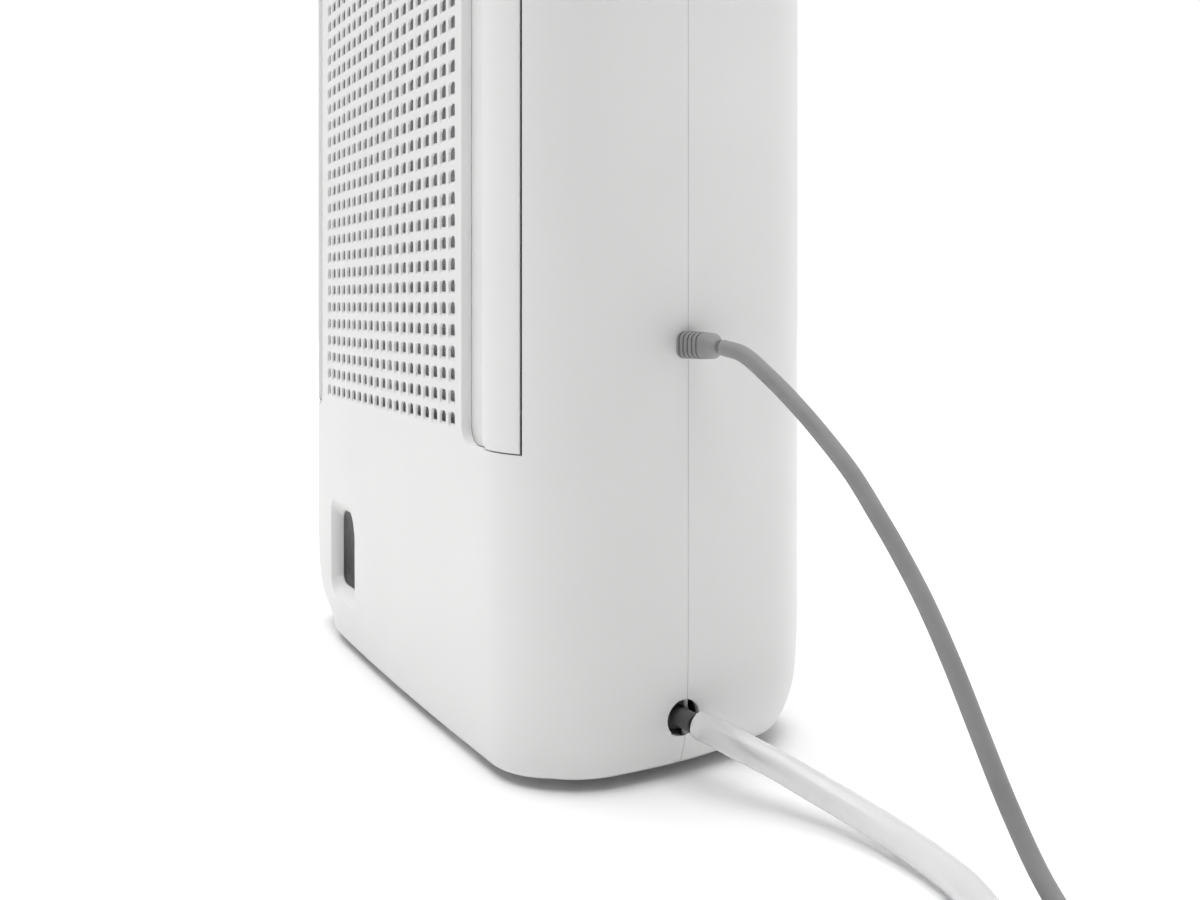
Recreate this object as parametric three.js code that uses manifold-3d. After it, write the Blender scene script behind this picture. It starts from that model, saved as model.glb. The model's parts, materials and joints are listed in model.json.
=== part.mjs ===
// Slim tower dehumidifier with a desiccant wheel, in millimetres.
// Frame: origin at the middle of the footprint on the floor, +Z up, -Y the intake side with the perforated
// grille, +Y the side that faces the room, +X the side with the mains lead and the drain hose.
import * as THREE from "three";
import { mergeVertices } from "three/addons/utils/BufferGeometryUtils.js";
import Module from "manifold-3d";

const wasm = await Module();
wasm.setup();

// ---- driving dimensions -------------------------------------------------------------------------------
const HALF_WIDTH = 169;
const HALF_DEPTH = 79;
const HEIGHT = 490;
const SIDE_BOW = 260;
const FACE_BOW = 4480;
const CORNER_RADIUS = 45;
const WALL = 2.8;
const GAP = 0.3;
const SEAM_Y = -7;
const SHELL_BOTTOM = 4.5;
const SHELL_TOP = 472;
const TOP_EDGE_RADIUS = 14;
const COVER_THICKNESS = 3.5;

// how far the shell is drawn in near the floor: [height, inset] where the draw-in is strongest
const BOTTOM_PROFILE = [
  [4.5, 17],
  [6.5, 10.5],
  [10, 8],
  [16, 5],
  [24, 2.4],
  [38, 0.7],
  [60, 0],
];

const GRILLE = { x: -7.7, columns: 20, pitch: 10, slot: 6.6, bottom: 140.5, top: 398, bars: 3 };
const FILTER_BAY = { bottom: 135.8, top: 404, back: -71.1 };
const GROOVE_RIGHT = { wall: 98, strip: 114.8, edge: 143.2 };
const GROOVE_LEFT = { wall: -117, strip: -133.4, edge: -143.2 };
const FILTER_FRAME = { front: -73.1, back: -71.4, bottom: 138.2, top: 401.8, rail: 6 };
const FILTER_TRAVEL_CLEARANCE = 0.4;
// where the two cassettes meet behind the middle of the grille
const MIDDLE_GAP = { left: -7.9, right: -7.5 };

const WINDOW = { left: -99, right: -51, bottom: 27, top: 83, floor: -72, rim: 2.6, corner: 9 };
const PANE = { left: -94.5, right: -53, bottom: 33, top: 76, shoulder: 1, flange: 1.6 };
const GLAND = { y: SEAM_Y, z: 180.3, width: 12, height: 11.4, end: 184, nose: 191 };
const DRAIN = { y: -8.5, z: 26.2, hole: 7.8, spout: 4, bore: 2.6, tip: 176 };

// each foot: [name, x, y, length, width, turn in degrees]
const FEET = [
  ["rear_left", -84, -64, 44, 14, 0],
  ["rear_right", 84, -64, 44, 14, 0],
  ["front_right", 129, 50, 40, 15, -61],
  ["front_left", -129, 50, 40, 15, 61],
];
const FOOT_HEIGHT = 4.2;
const SCREWS = [[-98, -34], [98, -34], [98, 24], [-98, 24]];

const TANK = { side: 116, back: -62, front: 66.5, bottom: 10.5, top: 104, wall: 2.2, corner: 5 };
const BAY = { side: 120, bottom: 10, top: 118 };
const LID = { bottom: 104.4, top: 107.4 };
const FLOAT = { x: 92, pivotY: 52, pivotZ: 34, arm: 44 };
const TRAY = { side: 136, back: -62, front: 62, bottom: 119.5, top: 127, drip: -10, outlet: 128 };

const WORKS = { x: -8, z: 268 };
const ROTOR = { radius: 88, front: -44, back: -16, hub: 9 };
const RING = { teeth: 60, module: 3.2, inner: 88.4, front: -36, back: -24 };
const PINION = { teeth: 12, front: -37, back: -23, angle: -Math.PI / 4, shaft: 3 };
const ROTOR_FRAME = { half: 110, front: -47, back: -13, hole: 101 };
const CONDENSER = { left: -104, right: 104, front: -64, back: -50, bottom: 150, top: 384, slots: 9 };
const HEATER = { front: -11.6, back: -5, inner: 22, outer: 86 };
const SCROLL = {
  front: -3, back: 43, wall: 2.4, mouthLeft: 8, mouthRight: 98, top: 446, inlet: 56, start: 82, growth: 22,
};
const BLOWER = { radius: 74, inner: 60, front: 3, back: 38, blades: 24 };
const FAN_MOTOR = { radius: 34, front: 45.6, back: 70 };

const OUTLET = { side: 100, front: -8, back: 40, collar: 478 };
const LOUVRE = { side: 98.4, front: -5.4, back: 38.4, bottom: 486.6, top: 489.7, pivotY: -3.6, pinZ: 486 };
const WELL = { side: 80, front: -62, back: -22, floor: 470 };
const BAIL = {
  side: 76, arm: 8, bar: -58, barWidth: 11, bottom: 478.4, top: 488.6, pivotY: -28, pivotZ: 483.5, pin: 2.4,
};
const PANEL = { side: 96, front: 45, back: 65, bottom: 487.6, top: 490 };
const BUTTONS = { y: 55, radius: 5.6, xs: [-66, -38, -10, 18], bottom: 482, top: 490 };
const LENS = { left: 44, right: 84, front: 50, back: 60 };

// each coil's ring is as wide and as high as its turns, and the middle of its outer turn is met along +X
const CORD = { radius: 3.25, coil: { x: 409, y: 62, inner: 23.3, outer: 50, height: 13.3 } };
const HOSE = { radius: 5.75, coil: { x: 350, y: -68.2, inner: 58.1, outer: 69.9, height: 11.6 } };
const PLUG = { x: 414, y: 7.9, z: 12.5, boot: 24, body: 30, prong: 18, width: 24, height: 20 };

// the free stretch of the mains lead, from the strain relief to its coil
const CORD_ROUTE = [
  [192.4, -6.8, 180],
  [202, -3.6, 177.4],
  [213, 0, 169.3],
  [225, 3.2, 159.5],
  [237, 6.3, 148.3],
  [248.6, 9.3, 136.1],
  [259, 12, 122],
  [267, 14, 110.6],
  [276.4, 16.4, 95.4],
  [286, 18.7, 77],
  [295.6, 20.6, 57],
  [306, 22, 37],
  [318.6, 22.6, 18.8],
  [333, 22, 7.8],
  [350, 20.2, 3.9],
  [371, 17.4, 3.3],
  [409, 15.5, 3.3],
];

// the free stretch of the drain hose, from its spout to its coil
const HOSE_ROUTE = [
  [DRAIN.tip + 0.8, -6.8, 25.9],
  [185, -5, 25.2],
  [194, -2, 23.6],
  [202, 3, 20.8],
  [210, 8, 17.8],
  [221, 13.4, 14],
  [233, 17.8, 11],
  [246, 20.8, 8.6],
  [260, 22.2, 6.9],
  [275, 21.8, 5.9],
  [290, 18.8, 5.85],
  [305, 12.6, 5.85],
  [319, 5.4, 5.85],
  [334, -1.2, 5.85],
  [350, -4.25, 5.85],
];

// ---- materials ----------------------------------------------------------------------------------------
function plastic(colour, roughness = 0.45) {
  return new THREE.MeshStandardMaterial({ color: colour, roughness, metalness: 0 });
}

function metal(colour, roughness = 0.35) {
  return new THREE.MeshStandardMaterial({ color: colour, roughness, metalness: 0.9 });
}

const white = plastic(0xf2f2f1);
const trimGrey = plastic(0xb9bbbd);
const darkPlastic = plastic(0x26282b);
const smoked = plastic(0x2b2d30, 0.15);
const clearGrey = plastic(0xcfd6da, 0.2);
const cordGrey = plastic(0x8e9092, 0.6);
const rubberGrey = plastic(0x6f7173, 0.8);
const clearTube = plastic(0xe6e9ea, 0.15);
const meshGrey = plastic(0x55585c, 0.7);
const floatWhite = plastic(0xe9ecee, 0.6);
const zeolite = plastic(0xc9c2b4, 0.9);
const gearWhite = plastic(0xdedede, 0.4);
const boardGreen = plastic(0x1f6b3c, 0.5);
const galvanised = metal(0xa9adb2);

// ---- geometry helpers ---------------------------------------------------------------------------------
function solidFrom(geometry) {
  const loose = geometry.index ? geometry.toNonIndexed() : geometry.clone();
  loose.deleteAttribute("normal");
  loose.deleteAttribute("uv");
  const merged = mergeVertices(loose, 1e-4);
  return new wasm.Manifold(
    new wasm.Mesh({
      numProp: 3,
      vertProperties: merged.attributes.position.array,
      triVerts: new Uint32Array(merged.index.array),
    }),
  );
}

function geometryFrom(solid) {
  const mesh = solid.getMesh();
  const positions = new Float32Array(mesh.numVert * 3);
  for (let i = 0; i < mesh.numVert; i++) {
    positions.set(mesh.vertProperties.subarray(i * mesh.numProp, i * mesh.numProp + 3), i * 3);
  }
  const geometry = new THREE.BufferGeometry();
  geometry.setAttribute("position", new THREE.BufferAttribute(positions, 3));
  geometry.setIndex(new THREE.BufferAttribute(mesh.triVerts, 1));
  geometry.computeVertexNormals();
  return geometry;
}

function block(x0, x1, y0, y1, z0, z1) {
  const geometry = new THREE.BoxGeometry(x1 - x0, y1 - y0, z1 - z0);
  geometry.translate((x0 + x1) / 2, (y0 + y1) / 2, (z0 + z1) / 2);
  return solidFrom(geometry);
}

// a cylinder or cone frustum along an axis, from one coordinate to the other, at the two other coordinates
function rod(axis, from, to, a, b, radius, segments = 24, endRadius = radius) {
  const geometry = new THREE.CylinderGeometry(endRadius, radius, to - from, segments);
  if (axis === "x") {
    geometry.rotateZ(-Math.PI / 2);
    geometry.translate((from + to) / 2, a, b);
  } else if (axis === "y") {
    geometry.translate(a, (from + to) / 2, b);
  } else {
    geometry.rotateX(Math.PI / 2);
    geometry.translate(a, b, (from + to) / 2);
  }
  return solidFrom(geometry);
}

// an outline in the XY plane pulled up from z0 to z1
function prism(points, z0, z1) {
  const shape = new THREE.Shape(points.map(([x, y]) => new THREE.Vector2(x, y)));
  const geometry = new THREE.ExtrudeGeometry(shape, { depth: z1 - z0, bevelEnabled: false });
  geometry.translate(0, 0, z0);
  return solidFrom(geometry);
}

// an outline in the XZ plane pulled along Y from y0 to y1
function prismY(points, y0, y1) {
  const shape = new THREE.Shape(points.map(([x, z]) => new THREE.Vector2(x, z)));
  const geometry = new THREE.ExtrudeGeometry(shape, { depth: y1 - y0, bevelEnabled: false });
  geometry.rotateX(Math.PI / 2);
  geometry.translate(0, y1, 0);
  return solidFrom(geometry);
}

// a closed skin over rings of equal length, listed from the lowest to the highest
function loft(rings) {
  const count = rings[0].length;
  const positions = rings.flat(2);
  const index = [];
  for (let level = 0; level + 1 < rings.length; level++) {
    for (let i = 0; i < count; i++) {
      const a = level * count + i;
      const b = level * count + ((i + 1) % count);
      index.push(a, b, b + count, a, b + count, a + count);
    }
  }
  const lowest = 0;
  const highest = (rings.length - 1) * count;
  for (let i = 1; i + 1 < count; i++) {
    index.push(lowest, lowest + i + 1, lowest + i);
    index.push(highest, highest + i, highest + i + 1);
  }
  const geometry = new THREE.BufferGeometry();
  geometry.setAttribute("position", new THREE.Float32BufferAttribute(positions, 3));
  geometry.setIndex(index);
  return solidFrom(geometry);
}

function union(...solids) {
  return solids.reduce((whole, piece) => whole.add(piece));
}

function cut(whole, ...tools) {
  return tools.reduce((rest, tool) => rest.subtract(tool), whole);
}

function roundedRectangle(cx, cy, width, height, radius, steps = 4) {
  const points = [];
  const corners = [
    [cx + width / 2 - radius, cy + height / 2 - radius, 0],
    [cx - width / 2 + radius, cy + height / 2 - radius, 1],
    [cx - width / 2 + radius, cy - height / 2 + radius, 2],
    [cx + width / 2 - radius, cy - height / 2 + radius, 3],
  ];
  for (const [x, y, quarter] of corners) {
    for (let i = 0; i <= steps; i++) {
      const angle = (quarter + i / steps) * (Math.PI / 2);
      points.push([x + radius * Math.cos(angle), y + radius * Math.sin(angle)]);
    }
  }
  return points;
}

// ---- the body's outline: bowed faces joined by corner arcs --------------------------------------------
function lerpTable(table, at) {
  if (at <= table[0][0]) return table[0][1];
  for (let i = 1; i < table.length; i++) {
    if (at <= table[i][0]) {
      const share = (at - table[i - 1][0]) / (table[i][0] - table[i - 1][0]);
      return table[i - 1][1] + share * (table[i][1] - table[i - 1][1]);
    }
  }
  return table[table.length - 1][1];
}

// the share of the bottom profile that a stretch of the outline takes: little along the intake face, most at
// the room face and at the far corner beside the level window
function drawIn(x, y) {
  const alongDepth = lerpTable([[-79, 0.15], [-65, 0.45], [0, 0.6], [79, 1]], y);
  const farCorner = lerpTable([[-130, 1], [-95, 0.15]], x);
  return Math.max(alongDepth, y < 0 ? farCorner : 0);
}

function quarterOutline() {
  const sideCentre = HALF_WIDTH - SIDE_BOW;
  const faceCentre = HALF_DEPTH - FACE_BOW;
  const toSide = SIDE_BOW - CORNER_RADIUS;
  const toFace = FACE_BOW - CORNER_RADIUS;
  // the corner arc's centre is where two circles around the bow centres cross
  const reach = Math.hypot(sideCentre, faceCentre);
  const along = (toSide ** 2 - toFace ** 2 + reach ** 2) / (2 * reach);
  const across = Math.sqrt(toSide ** 2 - along ** 2);
  const unit = [-sideCentre / reach, faceCentre / reach];
  const centre = [sideCentre + along * unit[0] - across * unit[1], along * unit[1] + across * unit[0]];
  const sideEnd = Math.atan2(centre[1], centre[0] - sideCentre);
  const faceStart = Math.atan2(centre[1] - faceCentre, centre[0]);
  const points = [];
  const arc = (cx, cy, radius, from, to, steps) => {
    for (let i = 0; i < steps; i++) {
      const angle = from + ((to - from) * i) / steps;
      const nx = Math.cos(angle);
      const ny = Math.sin(angle);
      points.push({ x: cx + radius * nx, y: cy + radius * ny, nx, ny });
    }
  };
  arc(sideCentre, 0, SIDE_BOW, 0, sideEnd, 3);
  arc(centre[0], centre[1], CORNER_RADIUS, sideEnd, faceStart, 7);
  arc(0, faceCentre, FACE_BOW, faceStart, Math.PI / 2, 2);
  points.push({ x: 0, y: HALF_DEPTH, nx: 0, ny: 1 });
  return points;
}

function fullOutline() {
  const quarter = quarterOutline();
  const flip = (p, sx, sy) => ({ x: p.x * sx, y: p.y * sy, nx: p.nx * sx, ny: p.ny * sy });
  const last = quarter.length - 1;
  return [
    ...quarter,
    ...quarter.slice(0, last).reverse().map((p) => flip(p, -1, 1)),
    ...quarter.slice(1).map((p) => flip(p, -1, -1)),
    ...quarter.slice(1, last).reverse().map((p) => flip(p, 1, -1)),
  ];
}

const OUTLINE = fullOutline();

function topInset(z) {
  const rise = z - (HEIGHT - TOP_EDGE_RADIUS);
  if (rise <= 0) return 0;
  return TOP_EDGE_RADIUS - Math.sqrt(Math.max(0, TOP_EDGE_RADIUS ** 2 - rise ** 2));
}

function bodyRing(profileZ, z, extra) {
  return OUTLINE.map(({ x, y, nx, ny }) => {
    const inset = lerpTable(BOTTOM_PROFILE, profileZ) * drawIn(x, y) + topInset(profileZ) + extra;
    return [x - nx * inset, y - ny * inset, z];
  });
}

function bodyBlank() {
  const levels = [...BOTTOM_PROFILE.map(([z]) => z), SHELL_TOP];
  return loft(levels.map((z) => bodyRing(z, z, 0)));
}

function bodyHollow() {
  const levels = [...BOTTOM_PROFILE.map(([z]) => z), SHELL_TOP + 5];
  const rings = levels.map((z) => bodyRing(Math.min(z, SHELL_TOP), z, WALL));
  return loft([bodyRing(SHELL_BOTTOM, -1, WALL), ...rings]);
}

// ---- shells -------------------------------------------------------------------------------------------
function grilleSlots() {
  const span = (GRILLE.top - GRILLE.bottom) / GRILLE.bars;
  const slots = [];
  for (let column = 0; column < GRILLE.columns; column++) {
    const x = GRILLE.x + (column - (GRILLE.columns - 1) / 2) * GRILLE.pitch;
    for (let bar = 0; bar < GRILLE.bars; bar++) {
      const z0 = GRILLE.bottom + bar * span + 1.6;
      slots.push(block(x - GRILLE.slot / 2, x + GRILLE.slot / 2, -90, -74, z0, z0 + span - 3.2));
    }
  }
  return union(...slots);
}

function filterOpening(groove) {
  const outward = Math.sign(groove.edge);
  const [left, right] = [groove.wall, groove.edge + outward * 1.1].sort((a, b) => a - b);
  return block(left, right, -95, FILTER_BAY.back, FILTER_BAY.bottom, FILTER_BAY.top);
}

function grooveWall(groove) {
  const inward = -Math.sign(groove.edge);
  const [left, right] = [groove.wall, groove.wall + inward * 2.6].sort((a, b) => a - b);
  return block(left, right, -77.4, FILTER_FRAME.front - 0.5, FILTER_BAY.bottom - 2, FILTER_BAY.top + 2);
}

function windowPocket() {
  const w = WINDOW;
  return block(w.left - w.rim, w.right + w.rim, -77, w.floor + w.rim, w.bottom - w.rim, w.top + w.rim);
}

function windowRecess() {
  const w = WINDOW;
  const [cx, cz] = [(w.left + w.right) / 2, (w.bottom + w.top) / 2];
  const outline = roundedRectangle(cx, cz, w.right - w.left, w.top - w.bottom, w.corner);
  const mouth = prismY(outline, -90, w.floor);
  return union(mouth, block(PANE.left, PANE.right, w.floor - 1, -60, PANE.bottom, PANE.top));
}

function sideOpenings() {
  const gland = prism(roundedRectangle(0, 0, GLAND.height + 0.6, GLAND.width + 0.6, 3.4), 150, 200)
    .rotate([0, 90, 0])
    .translate([0, GLAND.y, GLAND.z]);
  return union(gland, rod("x", 150, 185, DRAIN.y, DRAIN.z, DRAIN.hole, 24));
}

function shells() {
  const skin = cut(bodyBlank(), bodyHollow(), sideOpenings());
  const far = 300;
  const rearSide = block(-far, far, -far, SEAM_Y - GAP / 2, -10, 600);
  const frontSide = block(-far, far, SEAM_Y + GAP / 2, far, -10, 600);
  const rear = cut(
    union(skin.intersect(rearSide), grooveWall(GROOVE_RIGHT), grooveWall(GROOVE_LEFT), windowPocket()),
    filterOpening(GROOVE_RIGHT),
    filterOpening(GROOVE_LEFT),
    grilleSlots(),
    windowRecess(),
  );
  const bay = block(-BAY.side, BAY.side, 40, 100, BAY.bottom, BAY.top);
  const front = cut(skin.intersect(frontSide), bay);
  const fasciaBox = block(1 - BAY.side, BAY.side - 1, 60, 100, BAY.bottom + 1, BAY.top - 1);
  const fascia = skin.intersect(fasciaBox);
  return { rear, front, fascia };
}

// ---- base and feet ------------------------------------------------------------------------------------
function basePan() {
  const rim = 3.4;
  const plate = loft([4.9, 8.4].map((z) => bodyRing(SHELL_BOTTOM, z, rim)));
  const vents = [-70, -35, 0, 35, 70].map((x) => block(x - 3, x + 3, -36, 26, 0, 12));
  const screwHoles = SCREWS.map(([x, y]) => rod("z", 0, 12, x, y, 1.7, 10));
  return cut(plate, ...vents, ...screwHoles);
}

function foot(x, y, length, width, turn) {
  const pad = prism(roundedRectangle(0, 0, length, width, width / 2 - 0.1), 0, FOOT_HEIGHT);
  return pad.rotate([0, 0, turn]).translate([x, y, 0]);
}

// ---- top cover, louvre, handle and controls -----------------------------------------------------------
function topCover() {
  const levels = [SHELL_TOP + GAP, 476, 481, 485.5, 488.6, HEIGHT];
  const shellOfCover = loft(levels.map((z) => bodyRing(z, z, 0)));
  const under = [SHELL_TOP - 2, 476, 481, HEIGHT - COVER_THICKNESS];
  const hollow = loft(under.map((z) => bodyRing(Math.max(z, 300), z, WALL)));
  const o = OUTLET;
  const collar = block(-o.side - 2.4, o.side + 2.4, o.front - 2.4, o.back + 2.4, o.collar, 488);
  const outlet = block(-o.side, o.side, o.front, o.back, o.collar - 5, HEIGHT + 5);
  const w = WELL;
  const wellBox = block(-w.side - 2.4, w.side + 2.4, w.front - 2.4, w.back + 2.4, w.floor - 2.4, 488);
  const well = block(-w.side, w.side, w.front, w.back, w.floor, HEIGHT + 5);
  const p = PANEL;
  const panelBay = block(-p.side - GAP, p.side + GAP, p.front - GAP, p.back + GAP,
    p.bottom - GAP, HEIGHT + 5);
  const buttonHoles = BUTTONS.xs.map((x) => rod("z", 480, 495, x, BUTTONS.y, BUTTONS.radius + 0.6, 20));
  const louvrePins = rod("x", -102.8, 102.8, LOUVRE.pivotY, LOUVRE.pinZ, 1.9, 12);
  const bailPins = rod("x", -82.8, 82.8, BAIL.pivotY, BAIL.pivotZ, BAIL.pin + 0.4, 12);
  return cut(
    union(cut(shellOfCover, hollow), collar, wellBox),
    outlet, well, panelBay, louvrePins, bailPins, ...buttonHoles,
  );
}

function louvreFlap() {
  const l = LOUVRE;
  const plate = block(-l.side, l.side, l.front, l.back, l.bottom, l.top);
  const barrel = rod("x", -l.side, l.side, l.pivotY, l.pinZ, 2.2, 12);
  const pins = rod("x", -l.side - 3.6, l.side + 3.6, l.pivotY, l.pinZ, 1.5, 12);
  const rib = block(-l.side + 6, l.side - 6, 16, 17.6, l.bottom - 4, l.bottom + 1);
  return union(plate, barrel, pins, rib);
}

function carryHandle() {
  const b = BAIL;
  const bar = block(-b.side, b.side, b.bar, b.bar + b.barWidth, b.bottom, b.top);
  const arms = [-1, 1].map((s) =>
    block(Math.min(s * b.side, s * (b.side - b.arm)), Math.max(s * b.side, s * (b.side - b.arm)),
      b.bar + 1, b.pivotY, b.bottom, b.top));
  const knuckle = rod("x", -b.side, b.side, b.pivotY, b.pivotZ, 5.1, 16);
  const middle = block(b.arm - b.side, b.side - b.arm, b.pivotY - 12, b.pivotY + 12, 470, 495);
  const pins = rod("x", -b.side - 6, b.side + 6, b.pivotY, b.pivotZ, b.pin, 12);
  const pinCut = block(b.arm - b.side, b.side - b.arm, b.pivotY - 8, b.pivotY + 8, 470, 495);
  return union(bar, ...arms, cut(knuckle, middle), cut(pins, pinCut));
}

function controlPanel() {
  const p = PANEL;
  const plate = block(-p.side, p.side, p.front, p.back, p.bottom, p.top);
  const holes = BUTTONS.xs.map((x) => rod("z", 480, 495, x, BUTTONS.y, BUTTONS.radius + 0.4, 20));
  const lensHole = block(LENS.left - GAP, LENS.right + GAP, LENS.front - GAP, LENS.back + GAP, 489, 495);
  return cut(plate, lensHole, ...holes);
}

function button(x) {
  return rod("z", BUTTONS.bottom, BUTTONS.top, x, BUTTONS.y, BUTTONS.radius, 20);
}

function outletVanes() {
  const o = OUTLET;
  const rails = [o.front + 3, o.back - 5].map((y) => block(-o.side + 1, o.side - 1, y, y + 2, 458, 464));
  const vanes = [-90, -60, -30, 0, 30, 60, 90].map((x) =>
    block(x - 0.8, x + 0.8, o.front + 1, o.back - 1, 458, 475));
  return union(...rails, ...vanes);
}

function outletDuct() {
  const o = OUTLET;
  const wall = 2;
  const outer = block(-o.side - 2, o.side + 2, o.front - 2, o.back + 2, 448, 477.6);
  const inner = block(-o.side, o.side, o.front, o.back, 448 + wall, 490);
  const throat = block(SCROLL.mouthLeft + 1, SCROLL.mouthRight - 1, o.front + 6, o.back - 2, 440, 460);
  return cut(outer, inner, throat);
}

// ---- intake side: filter cassettes, level window, condenser -------------------------------------------
function stripOutline(groove) {
  const outward = Math.sign(groove.edge);
  const faces = OUTLINE.filter(({ x, y }) => y < 0 && x * outward > 60);
  faces.sort((p, q) => (p.x - q.x) * outward);
  const faceY = (x) => {
    const i = faces.findIndex((p) => p.x * outward > x * outward);
    const [p, q] = [faces[i - 1], faces[i]];
    return p.y + ((x - p.x) / (q.x - p.x)) * (q.y - p.y);
  };
  const [from, to] = [groove.strip * outward, groove.edge * outward];
  const inside = faces.filter((p) => p.x * outward > from && p.x * outward < to).map((p) => [p.x, p.y]);
  const points = [
    [groove.strip, faceY(groove.strip)],
    ...inside,
    [groove.edge, faceY(groove.edge)],
    [groove.edge, FILTER_FRAME.back],
    [groove.strip, FILTER_FRAME.back],
  ];
  return outward > 0 ? points : points.reverse();
}

// the two ends of the cassette's opening, from its inner rail to the groove's wall
function filterSpan(groove, innerEnd) {
  const outward = Math.sign(groove.edge);
  return [innerEnd + outward * FILTER_FRAME.rail, groove.wall - outward * 3].sort((a, b) => a - b);
}

function filterFrame(groove, innerEnd) {
  const f = FILTER_FRAME;
  const strip = prism(stripOutline(groove), FILTER_BAY.bottom + FILTER_TRAVEL_CLEARANCE,
    FILTER_BAY.top - FILTER_TRAVEL_CLEARANCE);
  const [left, right] = [innerEnd, groove.strip + Math.sign(groove.edge) * 2].sort((a, b) => a - b);
  const plate = block(left, right, f.front, f.back, f.bottom, f.top);
  const [open0, open1] = filterSpan(groove, innerEnd);
  return union(strip, cut(plate, block(open0, open1, -80, -60, f.bottom + f.rail, f.top - f.rail)));
}

function filterMesh(groove, innerEnd) {
  const f = FILTER_FRAME;
  const [open0, open1] = filterSpan(groove, innerEnd);
  return block(open0 + GAP, open1 - GAP, f.front + 0.5, f.back - GAP,
    f.bottom + f.rail + GAP, f.top - f.rail - GAP);
}

function levelWindow() {
  const w = WINDOW;
  const back = w.floor + w.rim;
  const raised = (inset, y0, y1) => block(PANE.left + inset, PANE.right - inset, y0, y1,
    PANE.bottom + inset, PANE.top - inset);
  const pane = raised(GAP, w.floor + GAP, back);
  const neck = raised(PANE.shoulder, w.floor + 1, back + 1);
  const flangeBack = back + GAP + PANE.flange;
  const flange = block(w.left + 1, w.right - 1, back + GAP, flangeBack, w.bottom + 1, w.top - 1);
  return union(pane, neck, flange);
}

function condenser() {
  const c = CONDENSER;
  const core = block(c.left, c.right, c.front, c.back, c.bottom, c.top);
  const step = (c.right - c.left) / (c.slots + 1);
  const slots = [];
  for (let i = 1; i <= c.slots; i++) {
    const x = c.left + i * step;
    slots.push(block(x - 5, x + 5, c.front - 5, c.back + 5, c.bottom + 14, c.top - 14));
  }
  return cut(core, ...slots);
}

// ---- desiccant wheel ----------------------------------------------------------------------------------
function gearOutline(teeth, module, phase) {
  const pitch = (teeth * module) / 2;
  const tip = pitch + 0.8 * module;
  const root = pitch - 0.95 * module;
  const step = (2 * Math.PI) / teeth;
  const points = [];
  for (let i = 0; i < teeth; i++) {
    const at = phase + i * step;
    points.push([root * Math.cos(at - 0.3 * step), root * Math.sin(at - 0.3 * step)]);
    points.push([tip * Math.cos(at - 0.11 * step), tip * Math.sin(at - 0.11 * step)]);
    points.push([tip * Math.cos(at + 0.11 * step), tip * Math.sin(at + 0.11 * step)]);
    points.push([root * Math.cos(at + 0.3 * step), root * Math.sin(at + 0.3 * step)]);
  }
  return points;
}

function pinionCentre() {
  const distance = ((RING.teeth + PINION.teeth) * RING.module) / 2;
  return [WORKS.x + distance * Math.cos(PINION.angle), WORKS.z + distance * Math.sin(PINION.angle)];
}

function rotorCore() {
  const r = ROTOR;
  const disc = rod("y", r.front, r.back, WORKS.x, WORKS.z, r.radius, 48);
  const rimGroove = cut(
    rod("y", RING.front - GAP, RING.back + GAP, WORKS.x, WORKS.z, r.radius + 5, 48),
    rod("y", RING.front - 5, RING.back + 5, WORKS.x, WORKS.z, r.radius - 0.01, 48),
  );
  return cut(disc, rimGroove, rod("y", -60, 0, WORKS.x, WORKS.z, r.hub, 20));
}

function rotorHub() {
  return union(
    rod("y", ROTOR.front - 2, ROTOR.back + 2, WORKS.x, WORKS.z, ROTOR.hub - 0.4, 20),
    rod("y", ROTOR.front - 2, ROTOR.front - 0.4, WORKS.x, WORKS.z, ROTOR.hub + 4, 20),
  );
}

function ringGear() {
  const teeth = prismY(gearOutline(RING.teeth, RING.module, PINION.angle), RING.front, RING.back)
    .translate([WORKS.x, 0, WORKS.z]);
  return cut(teeth, rod("y", -60, 0, WORKS.x, WORKS.z, RING.inner, 48));
}

function pinion() {
  const [x, z] = pinionCentre();
  const toothPhase = PINION.angle + Math.PI + Math.PI / PINION.teeth;
  const teeth = prismY(gearOutline(PINION.teeth, RING.module, toothPhase), PINION.front, PINION.back)
    .translate([x, 0, z]);
  return union(teeth, rod("y", PINION.back - 1, -10.5, x, z, PINION.shaft, 16));
}

function rotorFrame() {
  const f = ROTOR_FRAME;
  const [px, pz] = pinionCentre();
  const { x, z } = WORKS;
  const plate = block(x - f.half, x + f.half, f.front, f.back, z - f.half, z + f.half);
  const opening = rod("y", -60, 0, WORKS.x, WORKS.z, f.hole, 48);
  const pocket = rod("y", f.front + 3, 0, px, pz, 23.6, 24);
  return cut(plate, opening, pocket);
}

function rotorGearMotor() {
  const [x, z] = pinionCentre();
  return rod("y", -10, SCROLL.front - 0.4, x, z, 17, 24);
}

function heater() {
  const points = [];
  const steps = 8;
  for (let i = 0; i <= steps; i++) {
    const angle = (2 * Math.PI) / 3 + (i / steps) * (Math.PI / 3);
    points.push([WORKS.x + HEATER.outer * Math.cos(angle), WORKS.z + HEATER.outer * Math.sin(angle)]);
  }
  for (let i = steps; i >= 0; i--) {
    const angle = (2 * Math.PI) / 3 + (i / steps) * (Math.PI / 3);
    points.push([WORKS.x + HEATER.inner * Math.cos(angle), WORKS.z + HEATER.inner * Math.sin(angle)]);
  }
  return prismY(points, HEATER.front, HEATER.back);
}

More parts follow.
